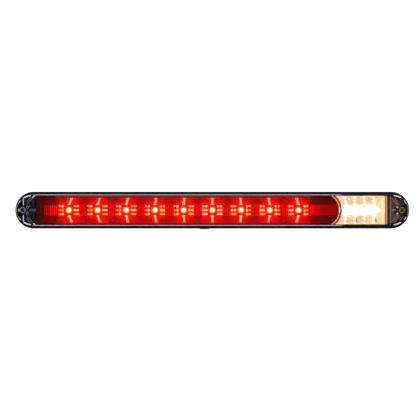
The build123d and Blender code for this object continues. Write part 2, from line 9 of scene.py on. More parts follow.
import bmesh
import bpy
import numpy as np
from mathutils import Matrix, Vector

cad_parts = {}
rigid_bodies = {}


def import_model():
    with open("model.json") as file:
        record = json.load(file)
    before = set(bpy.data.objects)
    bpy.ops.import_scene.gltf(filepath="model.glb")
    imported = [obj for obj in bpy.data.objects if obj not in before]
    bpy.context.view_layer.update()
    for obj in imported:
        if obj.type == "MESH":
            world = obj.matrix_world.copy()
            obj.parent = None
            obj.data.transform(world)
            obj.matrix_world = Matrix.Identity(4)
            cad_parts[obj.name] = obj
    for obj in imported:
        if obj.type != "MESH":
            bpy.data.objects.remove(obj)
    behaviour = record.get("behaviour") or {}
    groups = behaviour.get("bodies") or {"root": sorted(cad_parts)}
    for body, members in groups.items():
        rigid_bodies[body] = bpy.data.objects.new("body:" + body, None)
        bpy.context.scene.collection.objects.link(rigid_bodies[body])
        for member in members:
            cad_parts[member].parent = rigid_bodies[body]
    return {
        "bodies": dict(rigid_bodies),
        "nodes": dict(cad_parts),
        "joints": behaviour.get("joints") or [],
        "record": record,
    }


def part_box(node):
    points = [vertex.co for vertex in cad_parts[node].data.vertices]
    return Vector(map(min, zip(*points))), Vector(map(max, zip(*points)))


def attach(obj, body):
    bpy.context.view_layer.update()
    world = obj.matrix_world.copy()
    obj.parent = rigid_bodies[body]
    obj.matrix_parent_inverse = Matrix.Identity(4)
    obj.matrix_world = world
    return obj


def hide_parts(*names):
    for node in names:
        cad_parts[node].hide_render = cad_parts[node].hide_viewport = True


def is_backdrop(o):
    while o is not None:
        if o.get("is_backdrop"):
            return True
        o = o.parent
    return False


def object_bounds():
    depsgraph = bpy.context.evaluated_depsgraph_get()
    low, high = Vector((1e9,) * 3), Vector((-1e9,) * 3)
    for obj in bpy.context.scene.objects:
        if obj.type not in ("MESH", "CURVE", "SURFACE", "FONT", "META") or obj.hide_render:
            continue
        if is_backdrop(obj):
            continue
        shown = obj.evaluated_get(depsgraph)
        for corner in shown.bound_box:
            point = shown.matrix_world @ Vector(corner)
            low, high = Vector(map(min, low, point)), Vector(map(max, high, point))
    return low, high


LOG = logging.getLogger("lamp")
MM = 0.001
CREASE = math.radians(38.0)
SLOPE_FLUTES = 7
BOTH = (1.0, -1.0)
# The Mix node's colour sockets.
COLOUR_INPUTS = (6, 7)
COLOUR_RESULT = 2

Colour = tuple[float, float, float]


# ------------------------------------------------------------------ materials


class Sheet:
    """A material's node tree, with short calls to add and join nodes."""

    def __init__(self, name: str) -> None:
        """Make an empty material with an output and a Principled shader.

        Args:
            name: the material's name.
        """
        self.material = bpy.data.materials.new(name)
        self.material.use_nodes = True
        self.tree = self.material.node_tree
        self.tree.nodes.clear()
        self.output = self.tree.nodes.new("ShaderNodeOutputMaterial")
        self.shader = self.tree.nodes.new("ShaderNodeBsdfPrincipled")
        self.link(self.shader.outputs["BSDF"], self.output.inputs["Surface"])
        self.coords = self.tree.nodes.new("ShaderNodeTexCoord")

    def link(self, start: bpy.types.NodeSocket, end: bpy.types.NodeSocket) -> None:
        """Join two sockets."""
        self.tree.links.new(start, end)

    def set(self, **values: object) -> None:
        """Set the Principled shader's own sockets; underscores in a name stand for spaces."""
        for name, value in values.items():
            socket = self.shader.inputs[name.replace("_", " ")]
            if isinstance(value, tuple) and len(value) == 3 and len(socket.default_value) == 4:
                value = (*value, 1.0)
            socket.default_value = value

    def node(self, kind: str, **settings: object) -> bpy.types.Node:
        """Add a node and set its properties.

        Args:
            kind: the node's type without its ShaderNode prefix.
            settings: properties of the node.

        Returns:
            The node.
        """
        made = self.tree.nodes.new("ShaderNode" + kind)
        for name, value in settings.items():
            setattr(made, name, value)
        return made

    def noise(self, scale: float, detail: float = 3.0, rough: float = 0.5) -> bpy.types.NodeSocket:
        """Fractal noise on the object's own coordinates, from 0 to 1.

        Args:
            scale: cells per metre.
            detail: octaves.
            rough: share that each octave keeps.

        Returns:
            The value socket.
        """
        made = self.node("TexNoise")
        made.inputs["Scale"].default_value = scale
        made.inputs["Detail"].default_value = detail
        made.inputs["Roughness"].default_value = rough
        self.link(self.coords.outputs["Object"], made.inputs["Vector"])
        return made.outputs["Fac"]

    def spread(
        self, source: bpy.types.NodeSocket, low: float, high: float, start: float = 0.0, end: float = 1.0
    ) -> bpy.types.NodeSocket:
        """Map a value linearly from start..end to low..high, clamped.

        Args:
            source: the value.
            low: result at start.
            high: result at end.
            start: value that gives low.
            end: value that gives high.

        Returns:
            The mapped value socket.
        """
        made = self.node("MapRange")
        for name, value in (("From Min", start), ("From Max", end), ("To Min", low), ("To Max", high)):
            made.inputs[name].default_value = value
        self.link(source, made.inputs["Value"])
        return made.outputs["Result"]

    def paint(self, share: bpy.types.NodeSocket, first: Colour, second: Colour) -> None:
        """Blend the base colour from the first to the second as a value goes from 0 to 1."""
        made = self.node("Mix", data_type="RGBA")
        self.link(share, made.inputs["Factor"])
        for socket, colour in zip(COLOUR_INPUTS, (first, second)):
            made.inputs[socket].default_value = (*colour, 1.0)
        self.link(made.outputs[COLOUR_RESULT], self.shader.inputs["Base Color"])

    def polish(
        self, share: bpy.types.NodeSocket, low: float, high: float, start: float = 0.0, end: float = 1.0
    ) -> None:
        """Take the roughness from low to high as a value goes from start to end."""
        self.link(self.spread(share, low, high, start, end), self.shader.inputs["Roughness"])

    def bump(self, height: bpy.types.NodeSocket, depth: float) -> None:
        """Raise the surface by a pattern from 0 to 1, whose 1 stands depth metres above its 0."""
        made = self.node("Bump")
        made.inputs["Distance"].default_value = depth
        made.inputs["Strength"].default_value = 1.0
        self.link(height, made.inputs["Height"])
        self.link(made.outputs["Normal"], self.shader.inputs["Normal"])


@dataclass(frozen=True)
class MouldedPlastic:
    """Opaque injection-moulded plastic with a fine spark texture and faint handling marks."""

    name: str
    dark: Colour
    light: Colour
    # lit sets an even glow in the light colour; the finishes that use it paint light, highlights,
    # reflections and shade with it.
    lit: float = 0.0
    gloss: float = 0.22
    matt: float = 0.42
    grain: float = 2600.0
    grain_depth: float = 0.000012

    def material(self) -> bpy.types.Material:
        """Return the finish as a new material."""
        sheet = Sheet(self.name)
        sheet.set(Emission_Color=self.light, Emission_Strength=self.lit)
        cloud = sheet.noise(scale=60.0, detail=4.0, rough=0.6)
        sheet.paint(cloud, self.dark, self.light)
        sheet.polish(cloud, self.gloss, self.matt, start=0.35, end=0.7)
        sheet.bump(sheet.noise(self.grain, detail=2.0, rough=0.55), self.grain_depth)
        return sheet.material


@dataclass(frozen=True)
class ClearPlastic:
    """Polished see-through plastic with a slight moulding ripple."""

    name: str
    tint: Colour
    tint_edge: Colour
    index: float = 1.58
    roughness: float = 0.015
    ripple: float = 140.0
    ripple_depth: float = 0.00001

    def material(self) -> bpy.types.Material:
        """Return the finish as a new material."""
        sheet = Sheet(self.name)
        sheet.set(Transmission_Weight=1.0, IOR=self.index)
        cloud = sheet.noise(scale=45.0)
        sheet.paint(cloud, self.tint, self.tint_edge)
        sheet.polish(cloud, self.roughness, self.roughness * 2.5, start=0.4, end=0.75)
        sheet.bump(sheet.noise(self.ripple, detail=1.0), self.ripple_depth)
        return sheet.material


@dataclass(frozen=True)
class BrightPlating:
    """Thin bright metal on moulded plastic, with a faint orange peel."""

    name: str
    colour: Colour = (0.93, 0.91, 0.89)
    shade: Colour = (0.86, 0.83, 0.8)
    roughness: float = 0.06
    # glow and lit make the plating glow evenly, which paints the LEDs' light onto it.
    glow: Colour = (0.0, 0.0, 0.0)
    lit: float = 0.0

    def material(self) -> bpy.types.Material:
        """Return the finish as a new material."""
        sheet = Sheet(self.name)
        sheet.set(Metallic=1.0, Emission_Color=self.glow, Emission_Strength=self.lit)
        cloud = sheet.noise(scale=220.0)
        sheet.paint(cloud, self.colour, self.shade)
        sheet.polish(cloud, self.roughness, self.roughness * 2.4, start=0.3, end=0.8)
        sheet.bump(sheet.noise(scale=900.0, detail=1.0), depth=0.000006)
        return sheet.material


@dataclass(frozen=True)
class Glow:
    """A lit LED dome of clear resin that shines evenly, or a painted glow, highlight or reflection of its
    light on a piece that is no lamp.
    """

    name: str
    colour: Colour
    light: Colour
    strength: float

    def material(self) -> bpy.types.Material:
        """Return the finish as a new material."""
        sheet = Sheet(self.name)
        sheet.set(Emission_Color=self.light, Emission_Strength=self.strength)
        cloud = sheet.noise(scale=1500.0, detail=2.0)
        sheet.paint(cloud, self.colour, tuple(0.9 * channel for channel in self.colour))
        sheet.polish(cloud, low=0.12, high=0.25)
        return sheet.material


@dataclass(frozen=True)
class SolderMask:
    """Green lacquer over copper tracks that run along the board."""

    name: str
    mask: Colour = (0.012, 0.11, 0.045)
    track: Colour = (0.03, 0.2, 0.07)
    track_depth: float = 0.00003

    def material(self) -> bpy.types.Material:
        """Return the finish as a new material."""
        sheet = Sheet(self.name)
        wave = sheet.node("TexWave", bands_direction="Z")
        for name, value in (("Scale", 90.0), ("Distortion", 3.0), ("Detail Scale", 1.4)):
            wave.inputs[name].default_value = value
        sheet.link(sheet.coords.outputs["Object"], wave.inputs["Vector"])
        tracks = sheet.spread(wave.outputs["Fac"], 0.0, 1.0, start=0.45, end=0.5)
        sheet.paint(tracks, self.mask, self.track)
        sheet.polish(sheet.noise(scale=400.0), low=0.25, high=0.4)
        sheet.bump(tracks, self.track_depth)
        return sheet.material


@dataclass(frozen=True)
class Rubber:
    """Soft dark rubber or sealant with a matt, slightly dusty skin."""

    name: str
    dark: Colour
    light: Colour
    grain: float = 1500.0
    grain_depth: float = 0.00003
    roughness: float = 0.7

    def material(self) -> bpy.types.Material:
        """Return the finish as a new material."""
        sheet = Sheet(self.name)
        grain = sheet.noise(self.grain, rough=0.65)
        sheet.paint(grain, self.dark, self.light)
        sheet.polish(grain, self.roughness, self.roughness + 0.2)
        sheet.bump(grain, self.grain_depth)
        return sheet.material


@dataclass(frozen=True)
class PlatedMetal:
    """Zinc or tin plate with a clouded, brushed surface."""

    name: str
    bright: Colour
    dull: Colour
    roughness: float = 0.28

    def material(self) -> bpy.types.Material:
        """Return the finish as a new material."""
        sheet = Sheet(self.name)
        sheet.set(Metallic=1.0)
        cloud = sheet.noise(scale=700.0, detail=4.0, rough=0.6)
        sheet.paint(cloud, self.bright, self.dull)
        sheet.polish(cloud, self.roughness, self.roughness + 0.18)
        sheet.bump(sheet.noise(scale=3000.0, detail=2.0), depth=0.00001)
        return sheet.material


@dataclass(frozen=True)
class EdgeGlint:
    """Polished moulded edges with a painted highlight, as bright as the share in their "shine" attribute."""

    name: str
    dark: Colour
    bright: Colour
    roughness: float = 0.12

    def material(self) -> bpy.types.Material:
        """Return the finish as a new material."""
        sheet = Sheet(self.name)
        shine = sheet.node("Attribute", attribute_name="shine")
        fleck = sheet.noise(scale=900.0, detail=2.0)
        mixed = sheet.node("Math", operation="MULTIPLY")
        sheet.link(shine.outputs["Fac"], mixed.inputs[0])
        sheet.link(sheet.spread(fleck, 0.55, 1.25, start=0.3, end=0.7), mixed.inputs[1])
        sheet.paint(mixed.outputs[0], self.dark, self.bright)
        sheet.polish(fleck, self.roughness, self.roughness + 0.15)
        sheet.bump(fleck, depth=0.00002)
        return sheet.material


class Finish(Enum):
    """The finishes that the added pieces wear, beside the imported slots."""

    # From here to the end-wall glows the finishes are no lamps: they paint the LEDs' glow, and its
    # highlights and reflections, onto the pieces that wear them.
    HALO = "halo_glow"
    RING = "ring_glow"
    HOT_REFLECTION = "hot_facet"
    CREAM_REFLECTION = "cream_facet"
    AMBER_REFLECTION = "amber_facet"
    EMBER_GLOW = "ember_facet"
    WHITE_HOT_GLOW = "white_hot_facet"
    WHITE_WARM_GLOW = "white_warm_facet"
    DIVIDER_HOT_HIGHLIGHT = "divider_hot"
    DIVIDER_EDGE_HIGHLIGHT = "divider_edge"
    END_WALL_GLOW = "end_wall_glow"
    END_WALL_RIM_GLOW = "end_wall_rim_glow"
    # The red platings glow, which paints the LEDs' light onto the red reflector at strengths from faint to
    # bright.
    RED_GLOW_PLATING = "red_side_plating"
    RED_WARM_GLOW = "red_warm_plating"
    RED_LIT = "red_lit_plating"
    RED_FLUTE_GLOW = "red_flute_plating"
    RED_DIM_GLOW = "red_dusk_plating"
    # The two groove finishes paint shade in the grooves between the flutes.
    RED_GROOVE_SHADE = "red_groove"
    WHITE_GROOVE_SHADE = "white_groove"
    # Brown marks that glow, which is painted light.
    BROWN_MARKS = "white_feet"
    # The white plating glows, which paints the LEDs' light onto the white reflector.
    WHITE_GLOW_PLATING = "white_side_plating"
    # The lens edge finish paints a highlight on the cover's rounded front edge.
    LENS_EDGE_HIGHLIGHT = "lens_edge"
    # Most cell finishes paint highlights, sheen, reflections and glow on the ribs, boss, pips and floors of
    # the end cells; they glow in their light colour.
    GLINT = "cell_glint"
    SHEEN = "cell_sheen"
    DIM_HIGHLIGHT = "cell_shade"
    STRAW_HIGHLIGHT = "cell_straw"
    BRONZE_REFLECTION = "cell_bronze"
    BROWN_GLOW = "cell_brown"
    CRIMSON_REFLECTION = "cell_crimson"
    INK = "cell_ink"
    NIGHT_SHEEN = "cell_night"
    # The umber, tan and wine finishes glow: they paint shade and light on the strips at the white
    # reflector's end and on the red reflector's end wall.
    UMBER_SHADE = "umber_plastic"
    TAN_GLOW = "tan_plastic"
    WINE_GLOW = "wine_plastic"


def rack(kind: type, *rows: tuple) -> dict[str, object]:
    """Make one kind of finish for each row.

    Args:
        kind: the finish's class.
        rows: the finish's name or Finish, then the fields that follow the name, in the class's order.

    Returns:
        The finishes by name.
    """
    named = [(row[0].value if isinstance(row[0], Finish) else row[0], row[1:]) for row in rows]
    return {name: kind(name, *fields) for name, fields in named}


# Colour, shade and roughness that four red platings share; they differ only in how strongly they glow, which
# paints the LEDs' light onto them.
RED_METAL = ((0.9, 0.03, 0.02), (0.8, 0.025, 0.02), 0.38)

FINISHES: dict[str, object] = {
    **rack(
        MouldedPlastic,
        ("black_housing", (0.0016, 0.0014, 0.006), (0.004, 0.0036, 0.011), 0.0, 0.3, 0.45),
        ("led_base", (0.8, 0.78, 0.74), (0.86, 0.85, 0.82), 0.0, 0.35, 0.5),
        ("resistor_black", (0.02, 0.02, 0.02), (0.04, 0.04, 0.04)),
        ("moulded_black", (0.02, 0.02, 0.022), (0.035, 0.035, 0.038), 0.0, 0.5, 0.7),
        ("capacitor_ceramic", (0.4, 0.27, 0.16), (0.5, 0.36, 0.22)),
        # The two groove rows paint shade in the grooves between the flutes, with a faint glow.
        (Finish.RED_GROOVE_SHADE, (0.15, 0.002, 0.002), (0.25, 0.003, 0.003), 0.25),
        (Finish.WHITE_GROOVE_SHADE, (0.28, 0.15, 0.06), (0.42, 0.22, 0.09), 0.55),
        # Brown marks that glow in their light colour, which is painted light.
        (Finish.BROWN_MARKS, (0.3, 0.16, 0.06), (0.42, 0.22, 0.09), 0.5),
        # Most rows from here to the crimson one paint highlights, sheen, reflections and glow in the end
        # cells; each glows in its light colour.
        (Finish.GLINT, (0.6, 0.62, 0.8), (0.78, 0.8, 1.0), 0.9),
        (Finish.SHEEN, (0.15, 0.14, 0.18), (0.25, 0.23, 0.29), 0.9),
        (Finish.DIM_HIGHLIGHT, (0.11, 0.1, 0.12), (0.19, 0.175, 0.21), 0.9),
        (Finish.STRAW_HIGHLIGHT, (0.4, 0.36, 0.22), (0.6, 0.5, 0.32), 0.9),
        (Finish.BRONZE_REFLECTION, (0.25, 0.17, 0.12), (0.38, 0.27, 0.2), 0.9),
        (Finish.BROWN_GLOW, (0.03, 0.017, 0.013), (0.075, 0.045, 0.036), 1.0),
        (Finish.INK, (0.003, 0.003, 0.007), (0.008, 0.007, 0.015), 0.5),
        (Finish.NIGHT_SHEEN, (0.003, 0.003, 0.006), (0.009, 0.008, 0.016), 0.5),
        (Finish.CRIMSON_REFLECTION, (0.1, 0.003, 0.005), (0.15, 0.004, 0.008), 0.9),
        # Painted shade and painted glow of the strips and walls at the reflectors' ends.
        (Finish.UMBER_SHADE, (0.1, 0.04, 0.025), (0.15, 0.07, 0.045), 0.8),
        (Finish.TAN_GLOW, (0.45, 0.27, 0.16), (0.6, 0.37, 0.24), 0.8),
        (Finish.WINE_GLOW, (0.04, 0.004, 0.01), (0.07, 0.007, 0.016), 0.9),
    ),
    **rack(
        ClearPlastic,
        ("clear_cover", (0.97, 0.975, 1.0), (0.95, 0.96, 0.99)),
        ("red_lens", (0.88, 0.1, 0.07), (0.82, 0.09, 0.062)),
        ("clear_optic", (1.0, 0.985, 0.95), (0.98, 0.96, 0.92)),
    ),
    **rack(
        BrightPlating,
        ("bright_plating",),
        # These platings glow: the red ones paint the LEDs' light at strengths from faint to bright, and the
        # white one paints it over the white reflector.
        (Finish.RED_GLOW_PLATING, (0.9, 0.035, 0.025), (0.8, 0.03, 0.02), 0.38, (1.0, 0.01, 0.02), 0.02),
        (Finish.RED_DIM_GLOW, *RED_METAL, (1.0, 0.004, 0.01), 0.2),
        (Finish.RED_WARM_GLOW, *RED_METAL, (1.0, 0.004, 0.01), 0.36),
        (Finish.RED_LIT, *RED_METAL, (1.0, 0.002, 0.005), 1.15),
        (Finish.RED_FLUTE_GLOW, *RED_METAL, (1.0, 0.002, 0.005), 2.9),
        (Finish.WHITE_GLOW_PLATING, (0.9, 0.78, 0.6), (0.8, 0.64, 0.44), 0.35, (1.0, 0.76, 0.46), 0.62),
    ),
    **rack(SolderMask, ("circuit_board",)),
    **rack(
        PlatedMetal,
        ("zinc_steel", (0.66, 0.66, 0.68), (0.5, 0.5, 0.5)),
        ("tinned_copper", (0.75, 0.73, 0.7), (0.6, 0.57, 0.52)),
    ),
    **rack(
        Rubber,
        ("sealant", (0.012, 0.012, 0.014), (0.03, 0.03, 0.032)),
        ("gasket_foam", (0.012, 0.012, 0.014), (0.05, 0.05, 0.055), 2200.0, 0.00012),
        ("grommet_rubber", (0.012, 0.012, 0.012), (0.03, 0.03, 0.03)),
    ),
    # Painted highlight of the cover's rounded front edge, as bright as its shine attribute.
    **rack(EdgeGlint, (Finish.LENS_EDGE_HIGHLIGHT, (0.002, 0.002, 0.005), (0.5, 0.43, 0.47))),
    **rack(
        Glow,
        ("red_glow", (0.9, 0.2, 0.12), (1.0, 0.9, 1.0), 14.0),
        ("white_glow", (1.0, 0.98, 0.92), (1.0, 0.86, 0.62), 40.0),
        # From here down the glows are no lamps: they paint the LEDs' glow, highlights and reflections onto
        # the cups, the reflector, the divider and the red lens's end wall.
        (Finish.HALO, (1.0, 0.5, 0.3), (1.0, 0.72, 0.25), 9.0),
        (Finish.RING, (0.9, 0.05, 0.03), (1.0, 0.02, 0.01), 4.5),
        (Finish.HOT_REFLECTION, (1.0, 0.9, 0.7), (1.0, 0.95, 0.6), 11.0),
        (Finish.CREAM_REFLECTION, (1.0, 0.8, 0.7), (1.0, 0.93, 0.76), 10.0),
        (Finish.AMBER_REFLECTION, (1.0, 0.6, 0.2), (1.0, 0.86, 0.32), 6.6),
        (Finish.EMBER_GLOW, (1.0, 0.3, 0.1), (1.0, 0.28, 0.03), 3.4),
        (Finish.WHITE_HOT_GLOW, (1.0, 1.0, 0.98), (1.0, 0.98, 0.94), 1.5),
        (Finish.WHITE_WARM_GLOW, (1.0, 0.95, 0.85), (1.0, 0.86, 0.62), 0.75),
        (Finish.DIVIDER_HOT_HIGHLIGHT, (1.0, 0.98, 0.9), (1.0, 0.97, 0.85), 1.4),
        (Finish.DIVIDER_EDGE_HIGHLIGHT, (0.9, 0.6, 0.4), (1.0, 0.5, 0.22), 0.75),
        (Finish.END_WALL_GLOW, (0.4, 0.02, 0.01), (1.0, 0.03, 0.01), 0.3),
        (Finish.END_WALL_RIM_GLOW, (0.7, 0.1, 0.03), (1.0, 0.1, 0.02), 0.4),
    ),
}


class Wardrobe:
    """Every finish, made once as a material when a piece first wears it."""

    def __init__(self) -> None:
        """Start with no materials made."""
        self.made: dict[str, bpy.types.Material] = {}

    def material(self, name: str) -> bpy.types.Material:
        """Return the material of a finish by name, making it once."""
        if name not in self.made:
            self.made[name] = FINISHES[name].material()
        return self.made[name]

    def dress_frame(self, frame: dict[str, object]) -> None:
        """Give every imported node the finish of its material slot.
        """
        slots = {row["node"]: row["material_slot"] for row in frame["record"]["subparts"]}
        for node, obj in sorted(frame["nodes"].items()):
            obj.data.materials.clear()
            obj.data.materials.append(self.material(slots[node]))
            LOG.info("%s wears %s", node, slots[node])


# ------------------------------------------------------------------ shapes

Body = tuple[np.ndarray, list[list[int]]]


def carried(rings: np.ndarray, closed: bool = False) -> Body:
    """Skin a row of rings into a closed solid: ring i, point j runs to ring i+1, point j, and round to j+1.

    Args:
        rings: array of rings, points round each ring and x, y, z.
        closed: whether the last ring joins the first; otherwise both ends get a flat cap.

    Returns:
        Points and faces.
    """
    count, around = rings.shape[:2]
    i = np.arange(count if closed else count - 1)[:, None]
    j = np.arange(around)[None, :]
    ahead = (i + 1) % count
    turn = (j + 1) % around
    quads = np.stack([i * around + j, i * around + turn, ahead * around + turn, ahead * around + j], -1)
    faces = quads.reshape(-1, 4).tolist()
    if not closed:
        faces += [list(range(around)), list(range((count - 1) * around, count * around))]
    return rings.reshape(-1, 3), faces


def lathe(centre: tuple[float, float], profile: np.ndarray, steps: int = 28) -> Body:
    """Turn a closed outline of (radius, level) points round the -Y axis through a centre.

    A point at radius r and angle t lies at x + r cos t and z + r sin t, and level h lies at y = -h.

    Args:
        centre: x and z of the axis.
        profile: the outline's points, closed from last to first.
        steps: rings round the axis.

    Returns:
        Points and faces.
    """
    turn = np.linspace(0.0, 2 * np.pi, steps, endpoint=False)[:, None]
    radius, height = profile[None, :, 0], profile[None, :, 1]
    across = centre[0] + radius * np.cos(turn)
    rings = np.stack([across, np.broadcast_to(-height, across.shape), centre[1] + radius * np.sin(turn)], -1)
    return carried(rings, closed=True)


def stroke(
    start: tuple[float, float], end: tuple[float, float], half: float, level: float, bow: float = 0.0
) -> Body:
    """A low soft-ended bar between two places in the XZ plane, bowed sideways as a parabola.

    With t from -1 at the start to 1 at the end, its middle lies at middle + t run + bow (1 - t^2) side
    and its half width is half * sqrt(1 - 0.9 t^12).

    Args:
        start: x and z of the start.
        end: x and z of the end.
        half: half width.
        level: level of its middle.
        bow: sideways reach of its middle.

    Returns:
        Points and faces.
    """
    first, last = np.array(start), np.array(end)
    run = (last - first) / 2
    side = np.array([-run[1], run[0]]) / np.linalg.norm(run)
    t = np.linspace(-1.0, 1.0, 13)[:, None]
    path = (first + last) / 2 + t * run + bow * (1 - t**2) * side
    turn = (np.arange(8)[None, :] + 0.5) * np.pi / 4
    offset = half * np.sqrt(1 - 0.9 * t**12) * np.cos(turn)
    across = path[:, :1] + side[0] * offset
    up = path[:, 1:] + side[1] * offset
    return carried(np.stack([across, np.broadcast_to(-(level + 0.15 * np.sin(turn)), across.shape), up], -1))


def pillows(origins: np.ndarray, across: np.ndarray, up: np.ndarray, out: np.ndarray) -> Body:
    """Lay small crowned facets on a surface, all in one mesh.

    A facet's point is origin + u across + v up + (1 - u^4)(1 - v^4) out, for u and v from -1 to 1,
    over a flat base.

    Args:
        origins: middle of each facet.
        across: half-width vector of each.
        up: half-height vector of each.
        out: vector from the base to the crown of each.

    Returns:
        Points and faces.
    """
    line = np.array([-1.0, -0.8, 0.0, 0.8, 1.0])
    steps, side = len(line) - 1, len(line)
    u, v = (axis.reshape(1, -1, 1) for axis in np.meshgrid(line, line, indexing="ij"))
    crown = (1 - u**4) * (1 - v**4)
    points = origins[:, None] + u * across[:, None] + v * up[:, None] + crown * out[:, None]
    i, j = (axis.ravel() for axis in np.meshgrid(np.arange(steps), np.arange(steps), indexing="ij"))
    quads = np.stack([i * side + j, (i + 1) * side + j, (i + 1) * side + j + 1, i * side + j + 1], -1)
    k = np.arange(steps)
    rim = np.concatenate([k * side, steps * side + k, (side - k) * side - 1, steps - k])
    shift = np.arange(len(origins))[:, None] * side * side
    faces = (quads[None] + shift[:, :, None]).reshape(-1, 4).tolist()
    faces += (rim[None] + shift).tolist()
    return points.reshape(-1, 3), faces


def slab(low: tuple[float, float, float], high: tuple[float, float, float], ease: float) -> Body:
    """A bar with eased edges: rounded rectangles in XZ, drawn in at the two outer rings in Y.

    Args:
        low: lowest corner.
        high: highest corner.
        ease: radius of the eased edges.

    Returns:
        Points and faces.
    """
    middle = (np.array(low) + np.array(high)) / 2
    half = (np.array(high) - np.array(low)) / 2
    turn = (np.arange(16) + 0.5) * np.pi / 8
    rings = []
    for y, shrink in ((low[1], ease), (low[1] + ease, 0.0), (high[1] - ease, 0.0), (high[1], ease)):
        x = middle[0] + np.sign(np.cos(turn)) * (half[0] - ease) + (ease - shrink * 0.9) * np.cos(turn)
        z = middle[2] + np.sign(np.sin(turn)) * (half[2] - ease) + (ease - shrink * 0.9) * np.sin(turn)
        rings.append(np.stack([x, np.full_like(x, y), z], -1))
    return carried(np.array(rings))


def stadium(reach: float, gap: float, steps: int) -> tuple[np.ndarray, np.ndarray]:
    """Stations round a slot outline, anticlockwise from the upper right corner.

    Args:
        reach: distance from the middle to the centre of each round end.
        gap: spacing of the stations along the straight runs.
        steps: stations round each end.

    Returns:
        The x of each station's arc centre, whose z is 0, and the outward angle there.
    """
    straight = np.linspace(reach, -reach, max(2, round(2 * reach / gap)))
    left = np.linspace(np.pi / 2, 3 * np.pi / 2, steps)[1:-1]
    centres = [straight, np.full(len(left), -reach), straight[::-1], np.full(len(left), reach)]
    flat = np.ones(len(straight)) * np.pi / 2
    return np.concatenate(centres), np.concatenate([flat, left, 3 * flat, left + np.pi])


# ------------------------------------------------------------------ the lamp's own pieces


def middle_mm(node: str) -> np.ndarray:
    """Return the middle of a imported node's box, in millimetres."""
    low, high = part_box(node)
    return (np.array(low) + np.array(high)) / 2 / MM


